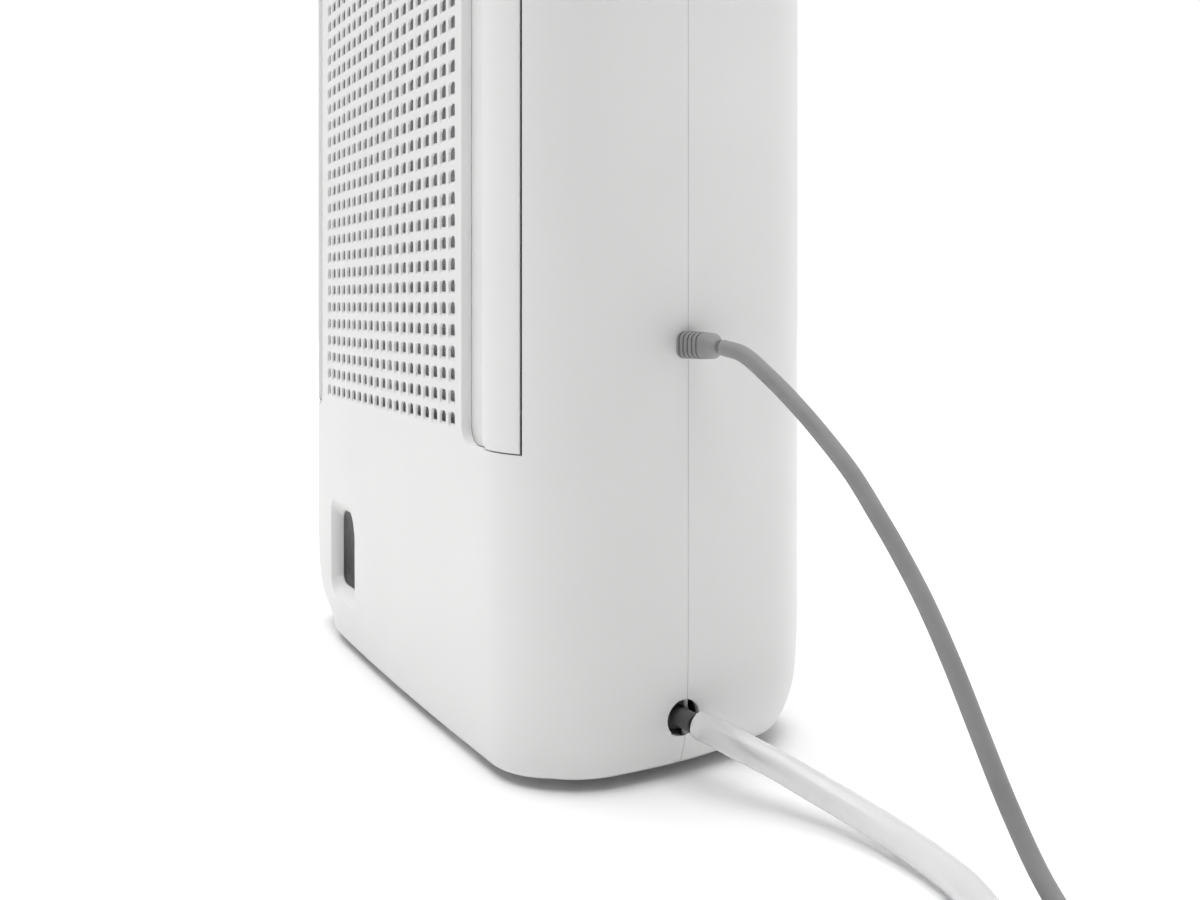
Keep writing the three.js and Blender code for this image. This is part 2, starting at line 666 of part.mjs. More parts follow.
// ---- blower -------------------------------------------------------------------------------------------
function scrollOutline(offset) {
  // a spiral that opens from the tongue round to a straight mouth at the top
  const steps = 26;
  const points = [];
  for (let i = 0; i <= steps; i++) {
    const turn = Math.PI - 0.35 + (i / steps) * (Math.PI + 0.35);
    const radius = SCROLL.start + SCROLL.growth * (i / steps) + offset;
    points.push([WORKS.x + radius * Math.cos(turn), WORKS.z + radius * Math.sin(turn)]);
  }
  points.push([SCROLL.mouthRight + offset, WORKS.z + 12]);
  points.push([SCROLL.mouthRight + offset, SCROLL.top + (offset > 0 ? 0 : 5)]);
  points.push([SCROLL.mouthLeft - offset, SCROLL.top + (offset > 0 ? 0 : 5)]);
  points.push([SCROLL.mouthLeft - offset, WORKS.z + 96]);
  for (let i = 0; i <= 6; i++) {
    const turn = Math.PI / 2 + 0.18 + (i / 7) * (Math.PI / 2 - 0.53);
    const radius = SCROLL.start + offset;
    points.push([WORKS.x + radius * Math.cos(turn), WORKS.z + radius * Math.sin(turn)]);
  }
  return points;
}

function fanScroll() {
  const s = SCROLL;
  const outer = prismY(scrollOutline(s.wall), s.front, s.back);
  const inner = prismY(scrollOutline(0), s.front + s.wall, s.back - s.wall);
  const inlet = rod("y", s.front - 5, s.front + 5, WORKS.x, WORKS.z, s.inlet, 36);
  const shaftHole = rod("y", s.back - 8, s.back + 5, WORKS.x, WORKS.z, 9, 20);
  return cut(outer, inner, inlet, shaftHole);
}

function blowerWheel() {
  const b = BLOWER;
  const ringOf = (y0, y1) => cut(
    rod("y", y0, y1, WORKS.x, WORKS.z, b.radius, 36),
    rod("y", y0 - 1, y1 + 1, WORKS.x, WORKS.z, b.inner, 36),
  );
  const blades = [];
  for (let i = 0; i < b.blades; i++) {
    const blade = block(b.inner + 1, b.radius - 0.6, -0.9, 0.9, -1, 1);
    const turned = blade
      .scale([1, 1, (b.back - b.front - 2) / 2])
      .rotate([90, 0, 0])
      .rotate([0, (360 * i) / b.blades, 0])
      .translate([WORKS.x, (b.front + b.back) / 2, WORKS.z]);
    blades.push(turned);
  }
  const disc = rod("y", b.back - 3, b.back, WORKS.x, WORKS.z, b.radius, 36);
  const hub = rod("y", b.front + 12, b.back - 1, WORKS.x, WORKS.z, 12, 20);
  const shaft = rod("y", b.back - 2, FAN_MOTOR.front - 0.6, WORKS.x, WORKS.z, 3, 16);
  return union(ringOf(b.front, b.front + 3), disc, hub, shaft, ...blades);
}

function fanMotor() {
  const m = FAN_MOTOR;
  const can = rod("y", m.front, m.back, WORKS.x, WORKS.z, m.radius, 32);
  const boss = rod("y", m.back - 1, m.back + 3, WORKS.x, WORKS.z, 8, 16);
  return union(can, boss);
}

// ---- tank ---------------------------------------------------------------------------------------------
function tankOutline(margin, radius) {
  const t = TANK;
  const [width, depth] = [2 * (t.side - margin), t.front - t.back - 2 * margin];
  return roundedRectangle(0, (t.back + t.front) / 2, width, depth, radius);
}

function tankBody() {
  const t = TANK;
  return cut(
    prism(tankOutline(0, t.corner), t.bottom, t.top),
    prism(tankOutline(t.wall, t.corner - t.wall), t.bottom + t.wall, t.top + 5),
  );
}

function tankLid() {
  const t = TANK;
  const plate = prism(tankOutline(0.5, t.corner), LID.bottom, LID.top);
  const lip = cut(
    prism(tankOutline(t.wall + 0.5, t.corner - t.wall), LID.bottom - 4, LID.bottom + 1),
    prism(tankOutline(t.wall + 2, t.corner - t.wall - 1), LID.bottom - 9, LID.bottom),
  );
  const drip = rod("z", 90, 120, TRAY.drip, 0, 24, 24);
  return cut(union(plate, lip), drip);
}

function floatArm() {
  const f = FLOAT;
  const arm = block(f.x - 1.5, f.x + 1.5, f.pivotY - f.arm, f.pivotY, f.pivotZ - 2, f.pivotZ + 2);
  return union(arm, rod("x", f.x - 9, f.x + 9, f.pivotY, f.pivotZ, 2.6, 14));
}

function floatBlock() {
  const f = FLOAT;
  return prism(roundedRectangle(f.x, f.pivotY - f.arm - 12, 26, 22, 5), f.pivotZ - 16, f.pivotZ + 10);
}

function floatBracket() {
  const f = FLOAT;
  const cheeks = [-1, 1].map((s) => block(f.x + s * 6 - 1.2, f.x + s * 6 + 1.2, f.pivotY - 6, f.pivotY + 7,
    TANK.bottom + TANK.wall + GAP, f.pivotZ + 7));
  const foot = block(f.x - 7.2, f.x + 7.2, f.pivotY - 6, f.pivotY + 7, TANK.bottom + TANK.wall + GAP,
    TANK.bottom + TANK.wall + 3.3);
  return cut(union(foot, ...cheeks), rod("x", f.x - 12, f.x + 12, f.pivotY, f.pivotZ, 2.9, 14));
}

function dripTray() {
  const t = TRAY;
  const outer = block(-t.side, t.side, t.back, t.front, t.bottom, t.top);
  const inner = block(2.2 - t.side, t.side - 2.2, t.back + 2.2, t.front - 2.2, t.bottom + 2.2, t.top + 5);
  const spoutHole = rod("z", t.bottom - 5, t.bottom + 5, t.drip, 0, 5, 16);
  const sideHole = rod("z", t.bottom - 5, t.bottom + 5, t.outlet, DRAIN.y, 4.2, 16);
  return cut(outer, inner, spoutHole, sideHole);
}

function drainPipe() {
  const route = new THREE.CatmullRomCurve3([
    new THREE.Vector3(TRAY.outlet, DRAIN.y, 119),
    new THREE.Vector3(TRAY.outlet, DRAIN.y, 95),
    new THREE.Vector3(TRAY.outlet, DRAIN.y, 60),
    new THREE.Vector3(130, DRAIN.y, 38),
    new THREE.Vector3(137, DRAIN.y, 28.4),
    new THREE.Vector3(147, DRAIN.y, DRAIN.z),
    new THREE.Vector3(153, DRAIN.y, DRAIN.z),
  ]);
  return tubeAlong(route, 4.6, 12, 18);
}

function drainSpout() {
  const outer = union(
    rod("x", 153.4, 163, DRAIN.y, DRAIN.z, 6.4, 20),
    rod("x", 162, DRAIN.tip, DRAIN.y, DRAIN.z, DRAIN.spout, 20),
  );
  return cut(outer, rod("x", 156, DRAIN.tip + 5, DRAIN.y, DRAIN.z, DRAIN.bore, 16));
}

function tankSwitch() {
  return union(block(-133, -122, -20, 0, 92, 108), block(-122.5, -117.2, -12, -9, 97, 103));
}

// ---- electrics ----------------------------------------------------------------------------------------
function powerBoard() {
  const board = block(134, 135.8, -34, 40, 150, 330);
  const parts = [
    block(118, 134.5, -20, 16, 170, 206),
    block(122, 134.5, -12, 22, 226, 252),
    rod("x", 112, 134.5, 0, 282, 11, 20),
    rod("x", 116, 134.5, 26, 284, 8, 16),
    block(124, 134.5, -26, -6, 300, 318),
  ];
  return union(board, ...parts);
}

function controlBoard() {
  const board = block(-92, 92, 46, 64, 474, 475.8);
  const switches = BUTTONS.xs.map((x) => block(x - 4, x + 4, BUTTONS.y - 4, BUTTONS.y + 4, 475, 480.4));
  return union(board, ...switches);
}

function louvreMotor() {
  const can = rod("x", 106, 120, LOUVRE.pivotY, 477, 8, 20);
  return union(can, rod("x", 103.2, 107, LOUVRE.pivotY, 480, 2.6, 12));
}

function humiditySensor() {
  return union(block(118, 119.6, -62, -44, 418, 440), block(119, 124, -58, -48, 424, 434));
}

function baseScrew(x, y) {
  return union(rod("z", 2.4, 4.4, x, y, 4, 16), rod("z", 4, 8, x, y, 1.4, 10));
}

function strainRelief() {
  const g = GLAND;
  const section = (width, height, radius, x) =>
    roundedRectangle(0, 0, width, height, radius, 4).map(([y, z]) => [x, g.y + y, g.z + z]);
  const body = loft([
    section(g.width, g.height, 3.2, 163),
    section(g.width, g.height, 3.2, g.end - 1.5),
    section(g.width - 1.6, g.height - 1.6, 3.6, g.end),
    section(9.4, 9.2, 4.4, g.end + 1.2),
    section(7.6, 7.6, 3.6, g.nose),
  ]);
  const flange = block(159.5, 163.5, g.y - 9, g.y + 9, g.z - 9, g.z + 9);
  const grooves = [171.6, 174.6, 177.6, 180.6].map((x) => cut(
    block(x - 0.6, x + 0.6, g.y - 12, g.y + 12, g.z - 12, g.z + 12),
    block(x - 1, x + 1, g.y - g.width / 2 + 1.2, g.y + g.width / 2 - 1.2,
      g.z - g.height / 2 + 1.2, g.z + g.height / 2 - 1.2),
  ));
  return cut(union(body, flange), ...grooves);
}

// a round tube of the given radius along a curve, as one closed solid
function tubeAlong(curve, radius, sides, steps) {
  const section = new THREE.Shape();
  for (let i = 0; i < sides; i++) {
    const angle = (2 * Math.PI * i) / sides;
    const point = [radius * Math.cos(angle), radius * Math.sin(angle)];
    if (i === 0) section.moveTo(...point);
    else section.lineTo(...point);
  }
  section.closePath();
  return solidFrom(new THREE.ExtrudeGeometry(section, { steps, extrudePath: curve, bevelEnabled: false }));
}

function curveThrough(points) {
  return new THREE.CatmullRomCurve3(points.map(([x, y, z]) => new THREE.Vector3(x, y, z)));
}

// the tube along a route, trimmed to the ring of its coil
function freeStretch(route, { radius, coil }, sides, steps) {
  const ring = rod("z", -5, coil.height + GAP, coil.x, coil.y, coil.outer + GAP, 64);
  return tubeAlong(curveThrough(route), radius, sides, steps).subtract(ring);
}

function mainsPlug() {
  const p = PLUG;
  const bootEnd = p.x + p.boot;
  const bodyEnd = bootEnd + p.body;
  const section = (x, width, height, radius) =>
    roundedRectangle(0, 0, width, height, radius, 3).map(([y, z]) => [x, p.y + y, z]);
  const raise = (rings, heights) => loft(
    rings.map((ring, i) => ring.map(([x, y, z]) => [x, y, z + heights[i]])),
  );
  const body = raise(
    [
      section(p.x, 7.4, 7.4, 3.6),
      section(bootEnd - 3, 13, 12, 5),
      section(bootEnd, p.width - 2, p.height - 2, 6),
      section(bootEnd + 3, p.width, p.height, 6),
      section(bodyEnd - 2, p.width, p.height, 6),
      section(bodyEnd, p.width - 3, p.height - 3, 5),
    ],
    [p.z - 2.5, p.z - 1, p.z, p.z, p.z, p.z],
  );
  const prongs = [-5.5, 5.5].map((y) => rod("x", bodyEnd - 1, bodyEnd + p.prong, p.y + y, p.z, 2.1, 12));
  return union(body, ...prongs);
}

function coilRing({ x, y, inner, outer, height }) {
  const edge = 3;
  const profile = [
    [inner, 0.1 + edge], [inner + edge, 0.1], [outer - edge, 0.1], [outer, 0.1 + edge],
    [outer, height - edge], [outer - edge, height], [inner + edge, height], [inner, height - edge],
    [inner, 0.1 + edge],
  ];
  const geometry = new THREE.LatheGeometry(profile.map(([r, z]) => new THREE.Vector2(r, z)), 32);
  geometry.rotateX(Math.PI / 2);
  geometry.translate(x, y, 0);
  return solidFrom(geometry);
}

// ---- the assembly -------------------------------------------------------------------------------------
const group = new THREE.Group();

function add(name, solid, material) {
  const mesh = new THREE.Mesh(geometryFrom(solid), material);
  mesh.name = name;
  group.add(mesh);
}

const { rear, front, fascia } = shells();
add("rear_shell", rear, white);
add("front_shell", front, white);
add("base_pan", basePan(), white);
FEET.forEach(([name, ...sizes]) => add(`foot_${name}`, foot(...sizes), white));

const screwNames = ["rear_left", "rear_right", "front_right", "front_left"];
SCREWS.forEach(([x, y], i) => add(`base_screw_${screwNames[i]}`, baseScrew(x, y), galvanised));

add("top_cover", topCover(), white);
add("louvre_flap", louvreFlap(), white);
add("outlet_duct", outletDuct(), trimGrey);
add("outlet_vanes", outletVanes(), trimGrey);
add("carry_handle", carryHandle(), white);
add("control_panel", controlPanel(), darkPlastic);
const buttonNames = ["power_button", "humidity_button", "fan_button", "timer_button"];
BUTTONS.xs.forEach((x, i) => add(buttonNames[i], button(x), trimGrey));
add("display_lens", block(LENS.left, LENS.right, LENS.front, LENS.back, 489.2, 490), smoked);
add("control_board", controlBoard(), boardGreen);

add("filter_frame_right", filterFrame(GROOVE_RIGHT, MIDDLE_GAP.right), white);
add("filter_mesh_right", filterMesh(GROOVE_RIGHT, MIDDLE_GAP.right), meshGrey);
add("filter_frame_left", filterFrame(GROOVE_LEFT, MIDDLE_GAP.left), white);
add("filter_mesh_left", filterMesh(GROOVE_LEFT, MIDDLE_GAP.left), meshGrey);
add("level_window", levelWindow(), smoked);
add("condenser", condenser(), clearGrey);

add("rotor_frame", rotorFrame(), trimGrey);
add("rotor_core", rotorCore(), zeolite);
add("rotor_hub", rotorHub(), gearWhite);
add("rotor_ring_gear", ringGear(), gearWhite);
add("rotor_pinion", pinion(), gearWhite);
add("rotor_gear_motor", rotorGearMotor(), galvanised);
add("heater", heater(), galvanised);
add("fan_scroll", fanScroll(), trimGrey);
add("blower_wheel", blowerWheel(), darkPlastic);
add("fan_motor", fanMotor(), galvanised);

add("tank_body", tankBody(), clearGrey);
add("tank_lid", tankLid(), trimGrey);
add("tank_front", fascia, white);
add("float_bracket", floatBracket(), trimGrey);
add("float_arm", floatArm(), floatWhite);
add("float_block", floatBlock(), floatWhite);
add("drip_tray", dripTray(), trimGrey);
add("drain_pipe", drainPipe(), clearGrey);
add("drain_spout", drainSpout(), rubberGrey);
add("tank_switch", tankSwitch(), darkPlastic);
add("louvre_motor", louvreMotor(), trimGrey);
add("humidity_sensor", humiditySensor(), boardGreen);
add("power_board", powerBoard(), boardGreen);

add("strain_relief", strainRelief(), cordGrey);
add("mains_cord", freeStretch(CORD_ROUTE, CORD, 8, 24), cordGrey);
add("mains_cord_coil", coilRing(CORD.coil), cordGrey);
add("mains_plug", mainsPlug(), cordGrey);
add("drain_hose", freeStretch(HOSE_ROUTE, HOSE, 10, 16), clearTube);
add("drain_hose_coil", coilRing(HOSE.coil), clearTube);

export default group;
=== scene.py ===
"""The dehumidifier's looks: fine shells, the perforated intake face, cords, small parts, materials, studio.

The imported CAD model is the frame. Millimetres are used while shapes are worked out, and points turn into
metres where they go into a mesh.
"""
import json
import math
import bmesh
import bpy
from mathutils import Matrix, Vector


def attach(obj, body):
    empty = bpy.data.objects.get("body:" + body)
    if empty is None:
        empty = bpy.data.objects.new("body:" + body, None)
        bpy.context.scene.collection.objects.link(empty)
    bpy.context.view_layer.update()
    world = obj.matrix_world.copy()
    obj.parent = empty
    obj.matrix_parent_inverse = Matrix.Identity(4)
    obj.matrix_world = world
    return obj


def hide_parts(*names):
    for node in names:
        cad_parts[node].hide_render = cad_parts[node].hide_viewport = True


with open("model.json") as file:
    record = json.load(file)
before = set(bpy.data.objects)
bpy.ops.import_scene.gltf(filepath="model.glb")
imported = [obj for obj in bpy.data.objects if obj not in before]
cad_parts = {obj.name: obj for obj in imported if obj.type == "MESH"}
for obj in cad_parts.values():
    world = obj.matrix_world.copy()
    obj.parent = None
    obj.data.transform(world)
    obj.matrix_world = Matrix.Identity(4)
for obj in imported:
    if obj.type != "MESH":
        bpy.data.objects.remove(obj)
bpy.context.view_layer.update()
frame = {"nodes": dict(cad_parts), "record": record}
NODES = frame["nodes"]
MM = 0.001

# ---- driving dimensions, in millimetres ----------------------------------------------------------------
HALF_WIDTH = 169
HALF_DEPTH = 79
SIDE_BOW = 260
FACE_BOW = 4480
CORNER_RADIUS = 45
SEAM_Y = -7
SEAM_GAP = 0.24
SHELL_BOTTOM = 4.5
SHELL_TOP = 472
HEIGHT = 490
TOP_EDGE_RADIUS = 14
WALL = 2.6
# height above the floor, and how far the outline is drawn in there
BOTTOM_PROFILE = [
    (4.5, 17), (5.2, 13.4), (6.5, 10.5), (8, 9.1), (10, 8), (13, 6.3), (16, 5),
    (20, 3.6), (24, 2.4), (30, 1.4), (38, 0.7), (48, 0.25), (60, 0),
]

GRILLE_X = -7.7
GRILLE_COLUMNS = 20
GRILLE_PITCH = 10
ROW_PITCH = 9.8
ROWS = 26
FIRST_ROW_Z = 145.8
HOLE_WIDTH = 7.3
HOLE_HEIGHT = 6.9
BAY_BOTTOM = 135.8
BAY_TOP = 404
RIGHT_WALL, RIGHT_STRIP, RIGHT_EDGE = 98, 114.8, 143.2
LEFT_WALL, LEFT_STRIP, LEFT_EDGE = -117, -133.4, -143.2
WINDOW = {"left": -99, "right": -51, "bottom": 27, "top": 83, "floor": -72}
PANE = {"left": -94.5, "right": -53, "bottom": 33, "top": 76}
FILTER_FRONT, FILTER_BACK = -73.1, -71.4
BAY = {"side": 120, "bottom": 10, "top": 118}
STRIP_PLAY = 1.1
WINDOW_BORDER = 3
DRAIN_Y, DRAIN_Z, DRAIN_RADIUS, DRAIN_STEPS = -8.5, 26.2, 7.8, 24


# ---- materials -----------------------------------------------------------------------------------------
def linear(value):
    return value / 12.92 if value <= 0.04045 else ((value + 0.055) / 1.055) ** 2.4


def colour(grey, tint=(0, 0, 0)):
    return tuple(linear(min(1, max(0, grey + t))) for t in tint) + (1,)


class Nodes:
    """A material whose base colour, roughness and bump come from object-space noise."""

    def __init__(self, name, roughness, **sockets):
        self.material = bpy.data.materials.new(name)
        self.material.use_nodes = True
        self.tree = self.material.node_tree
        self.shader = self.tree.nodes["Principled BSDF"]
        self.shader.inputs["Roughness"].default_value = roughness
        for socket, value in sockets.items():
            self.shader.inputs[socket.replace("_", " ")].default_value = value
        self.place = self.tree.nodes.new("ShaderNodeTexCoord").outputs["Object"]

    def add(self, kind, **inputs):
        node = self.tree.nodes.new("ShaderNode" + kind)
        for socket, value in inputs.items():
            self.feed(node, socket.replace("_", " "), value)
        return node

    def feed(self, node, socket, value):
        if isinstance(value, bpy.types.NodeSocket):
            self.tree.links.new(value, node.inputs[socket])
        else:
            node.inputs[socket].default_value = value

    def noise(self, scale, detail=3, stretch=None):
        place = self.place
        if stretch:
            mapping = self.add("Mapping", Vector=place)
            mapping.inputs["Scale"].default_value = stretch
            place = mapping.outputs["Vector"]
        return self.add("TexNoise", Vector=place, Scale=scale, Detail=detail).outputs["Fac"]

    def ramp(self, value, low, high, start=0.35, end=0.65):
        node = self.add("ValToRGB", Fac=value)
        node.color_ramp.elements[0].position = start
        node.color_ramp.elements[0].color = low
        node.color_ramp.elements[1].position = end
        node.color_ramp.elements[1].color = high
        return node.outputs["Color"]

    def base(self, value):
        self.feed(self.shader, "Base Color", value)
        return self

    def rough(self, value, low, high):
        node = self.add("MapRange", Value=value, To_Min=low, To_Max=high)
        self.feed(self.shader, "Roughness", node.outputs["Result"])
        return self

    def bump(self, value, strength, distance):
        node = self.add("Bump", Height=value, Strength=strength, Distance=distance)
        self.feed(self.shader, "Normal", node.outputs["Normal"])
        return self


def moulded(name, grey, roughness=0.42, tint=(0, 0, 0), grain=0.12):
    """Injection-moulded plastic: very slight mottling, a fine grain, and gloss that varies a little."""
    m = Nodes(name, roughness)
    m.base(m.ramp(m.noise(9, 2), colour(grey - 0.006, tint), colour(grey + 0.006, tint)))
    m.rough(m.noise(38, 4), roughness - 0.05, roughness + 0.05)
    m.bump(m.noise(2600, 3), grain, 0.00004)
    return m.material


def rubbery(name, grey, roughness=0.55, tint=(0, 0, 0)):
    m = Nodes(name, roughness, Specular_IOR_Level=0.35)
    m.base(m.ramp(m.noise(60, 4), colour(grey - 0.015, tint), colour(grey + 0.015, tint)))
    m.rough(m.noise(180, 3), roughness - 0.06, roughness + 0.06)
    m.bump(m.noise(1500, 3), 0.2, 0.00006)
    return m.material


def clear(name, grey, roughness, transmission, ior=1.46, tint=(0, 0, 0)):
    m = Nodes(name, roughness, Transmission_Weight=transmission, IOR=ior)
    m.base(m.ramp(m.noise(30, 2), colour(grey - 0.01, tint), colour(grey + 0.01, tint)))
    m.rough(m.noise(90, 3), roughness, roughness + 0.08)
    return m.material


def metal(name, grey, roughness, tint=(0, 0, 0)):
    m = Nodes(name, roughness, Metallic=1.0)
    m.base(m.ramp(m.noise(220, 6), colour(grey - 0.06, tint), colour(grey + 0.05, tint)))
    m.rough(m.noise(400, 4, (1, 14, 1)), roughness - 0.08, roughness + 0.12)
    m.bump(m.noise(900, 3), 0.15, 0.00005)
    return m.material


def smoked_window_painted_gradient():
    """Smoked plastic whose base colour is painted by height: near black low down as painted shade from the dark
    inside, lighter grey towards its top as a painted reflection.
    """
    m = Nodes("smoked_window_painted_gradient", 0.22, Specular_IOR_Level=0.06)
    height = m.add("SeparateXYZ", Vector=m.place).outputs["Z"]
    level = m.add("MapRange", Value=height, From_Min=0.034, From_Max=0.078).outputs["Result"]
    # painted light: the base colour rises with height from near black (painted shade) to grey (painted
    # reflection)
    m.base(m.ramp(level, colour(0.03), colour(0.36), 0.25, 1.0))
    m.rough(m.noise(120, 3), 0.18, 0.28)
    return m.material


def filter_net():
    """A dust net woven in squares, on the far side of the cassette's frame."""
    m = Nodes("filter_net", 0.75)
    parts = m.add("SeparateXYZ", Vector=m.place)
    heights = []
    for axis in ("X", "Z"):
        wave = m.add("Math")
        wave.operation = "SINE"
        scaled = m.add("Math")
        scaled.operation = "MULTIPLY"
        m.feed(scaled, 0, parts.outputs[axis])
        scaled.inputs[1].default_value = 2 * math.pi / 0.0011
        m.feed(wave, 0, scaled.outputs[0])
        heights.append(wave.outputs[0])
    crossing = m.add("Math")
    crossing.operation = "MAXIMUM"
    m.feed(crossing, 0, heights[0])
    m.feed(crossing, 1, heights[1])
    m.base(m.ramp(crossing.outputs[0], colour(0.6), colour(0.78), 0.3, 0.9))
    m.bump(crossing.outputs[0], 0.5, 0.0003)
    return m.material


def honeycomb():
    """Corrugated zeolite paper: fine flutes wound round the wheel."""
    m = Nodes("zeolite_honeycomb", 0.85)
    cells = m.add("TexVoronoi", Vector=m.place, Scale=420)
    low, high = colour(0.52, (0, -0.03, -0.08)), colour(0.8, (0, -0.02, -0.06))
    m.base(m.ramp(cells.outputs["Distance"], low, high, 0.1, 0.6))
    m.bump(cells.outputs["Distance"], 0.7, 0.0006)
    return m.material


def circuit_board():
    m = Nodes("circuit_board", 0.4)
    tracks = m.add("TexBrick", Vector=m.place, Scale=160)
    tracks.inputs["Color1"].default_value = (0.012, 0.12, 0.045, 1)
    tracks.inputs["Color2"].default_value = (0.02, 0.16, 0.06, 1)
    tracks.inputs["Mortar"].default_value = (0.03, 0.24, 0.1, 1)
    m.base(tracks.outputs["Color"])
    m.rough(m.noise(200, 3), 0.3, 0.5)
    return m.material


MATERIALS = {
    "shell": moulded("white_shell", 0.93, 0.4, (0.0, 0.0, -0.002)),
    "trim": moulded("grey_trim", 0.72, 0.5),
    "dark": moulded("black_trim", 0.12, 0.35),
    "smoked": smoked_window_painted_gradient(),
    "clear": clear("clear_grey", 0.88, 0.12, 0.85, tint=(-0.03, 0, 0.01)),
    "cord": rubbery("grey_cord", 0.56),
    "spout": rubbery("spout_grey", 0.3),
    "hose": clear("milky_hose", 0.95, 0.2, 0.55, 1.4),
    "mesh": filter_net(),
    "float": moulded("float_white", 0.9, 0.7, grain=0.5),
    "zeolite": honeycomb(),
    "gear": moulded("natural_acetal", 0.88, 0.45, (0, -0.004, -0.02)),
    "board": circuit_board(),
    "galvanised": metal("galvanised_steel", 0.68, 0.35, (0, 0.003, 0.012)),
}


# ---- mesh helpers --------------------------------------------------------------------------------------
def finish_piece(name, points, faces, slot, body, replaces=(), sharp=32, weld=0.0):
    """A mesh of points in millimetres, smooth apart from edges over the sharp angle, riding on a body."""
    mesh = bpy.data.meshes.new(name)
    mesh.from_pydata([tuple(c * MM for c in p) for p in points], [], faces)
    piece = bpy.data.objects.new(name, mesh)
    bpy.context.scene.collection.objects.link(piece)
    work = bmesh.new()
    work.from_mesh(mesh)
    if weld:
        bmesh.ops.remove_doubles(work, verts=work.verts, dist=weld * MM)
    bmesh.ops.recalc_face_normals(work, faces=work.faces)
    work.to_mesh(mesh)
    work.free()
    shade(piece, sharp)
    mesh.materials.append(MATERIALS[slot])
    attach(piece, body)
    if replaces:
        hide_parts(*replaces)


def shade(piece, sharp):
    mesh = piece.data
    mesh.shade_smooth()
    mesh.set_sharp_from_angle(angle=math.radians(sharp))


class Sheet:
    """Points and faces of one skin, in which a point that is met again is used again."""

    def __init__(self):
        self.points, self.faces, self.index = [], [], {}

    def vertex(self, point):
        key = tuple(round(c, 3) for c in point)
        if key not in self.index:
            self.index[key] = len(self.points)
            self.points.append(point)
        return self.index[key]

    def face(self, *places):
        found = tuple(dict.fromkeys(self.vertex(p) for p in places))
        if len(found) > 2:
            self.faces.append(found)

    def strips(self, rows, closed=False):
        """Quads between neighbouring rows of points."""
        for a, b in zip(rows, rows[1:]):
            for k in range(len(a) if closed else len(a) - 1):
                n = (k + 1) % len(a)
                self.face(a[k], a[n], b[n], b[k])

    def box(self, x0, x1, y0, y1, z0, z1):
        low = [(x0, y0, z0), (x1, y0, z0), (x1, y1, z0), (x0, y1, z0)]
        high = [(x, y, z1) for x, y, _ in low]
        self.strips([low, high], closed=True)
        self.face(*low)
        self.face(*high)


def filled(*loops):
    """Triangles between an outer loop and the loops of the holes inside it, all in one plane."""
    work = bmesh.new()
    for loop in loops:
        verts = [work.verts.new(p) for p in loop]
        for a, b in zip(verts, verts[1:] + verts[:1]):
            work.edges.new((a, b))
    bmesh.ops.triangle_fill(work, use_beauty=True, edges=work.edges)
    found = [[tuple(v.co) for v in face.verts] for face in work.faces]
    work.free()
    return found


def skin(rings):
    """Quads between closed rings of equal length, with the two ends filled."""
    count = len(rings[0])
    points = [p for ring in rings for p in ring]
    faces = []
    for level in range(len(rings) - 1):
        for i in range(count):
            a, b = level * count + i, level * count + (i + 1) % count
            faces.append((a, b, b + count, a + count))
    faces.append(tuple(reversed(range(count))))
    faces.append(tuple(range((len(rings) - 1) * count, len(rings) * count)))
    return points, faces


def rounded_box(left, right, bottom, top, radii, steps=6):
    """A rounded rectangle. Its radii are for the upper right, upper left, lower left and lower right corner."""
    corners = [(right, top, -1, -1), (left, top, 1, -1), (left, bottom, 1, 1), (right, bottom, -1, 1)]
    outline = []
    for quarter, ((x, y, sx, sy), radius) in enumerate(zip(corners, radii)):
        for i in range(steps + 1):
            angle = (quarter + i / steps) * math.pi / 2
            outline.append((x + sx * radius + radius * math.cos(angle),
                            y + sy * radius + radius * math.sin(angle)))
    return outline


def spaced(wanted, least=0.25):
    """The values in order of size, leaving out each one that is too near one listed before it."""
    kept = []
    for value in wanted:
        if all(abs(value - other) > least for other in kept):
            kept.append(value)
    return sorted(kept)


# ---- the body's outline --------------------------------------------------------------------------------
def corner_centre():
    side, face = HALF_WIDTH - SIDE_BOW, HALF_DEPTH - FACE_BOW
    to_side, to_face = SIDE_BOW - CORNER_RADIUS, FACE_BOW - CORNER_RADIUS
    reach = math.hypot(side, face)
    along = (to_side ** 2 - to_face ** 2 + reach ** 2) / (2 * reach)
    across = math.sqrt(to_side ** 2 - along ** 2)
    ux, uy = -side / reach, face / reach
    return side + along * ux - across * uy, along * uy + across * ux


CORNER = corner_centre()
SIDE_CENTRE = HALF_WIDTH - SIDE_BOW
FACE_CENTRE = HALF_DEPTH - FACE_BOW
SIDE_END = math.atan2(CORNER[1], CORNER[0] - SIDE_CENTRE)
FACE_START = math.atan2(CORNER[1] - FACE_CENTRE, CORNER[0])


def on_arc(cx, cy, radius, angle):
    return cx + radius * math.cos(angle), cy + radius * math.sin(angle), math.cos(angle), math.sin(angle)


def quarter_stations(side_steps=10, corner_steps=18, face_steps=16):
    """The first quarter's points with their normals, from the side's middle to the face's middle."""
    found = [on_arc(SIDE_CENTRE, 0, SIDE_BOW, SIDE_END * i / side_steps) for i in range(side_steps)]
    turn = FACE_START - SIDE_END
    found += [on_arc(*CORNER, CORNER_RADIUS, SIDE_END + turn * i / corner_steps) for i in range(corner_steps)]
    rest = math.pi / 2 - FACE_START
    found += [on_arc(0, FACE_CENTRE, FACE_BOW, FACE_START + rest * i / face_steps)
              for i in range(face_steps + 1)]
    return found


def face_station(x):
    """The outline's point on the first or second quarter at this x, with its normal."""
    side = 1 if x >= 0 else -1
    x = abs(x)
    face_end = FACE_BOW * math.cos(FACE_START)
    if x <= face_end:
        found = on_arc(0, FACE_CENTRE, FACE_BOW, math.acos(x / FACE_BOW))
    else:
        found = on_arc(*CORNER, CORNER_RADIUS, math.acos((x - CORNER[0]) / CORNER_RADIUS))
    return found[0] * side, found[1], found[2] * side, found[3]


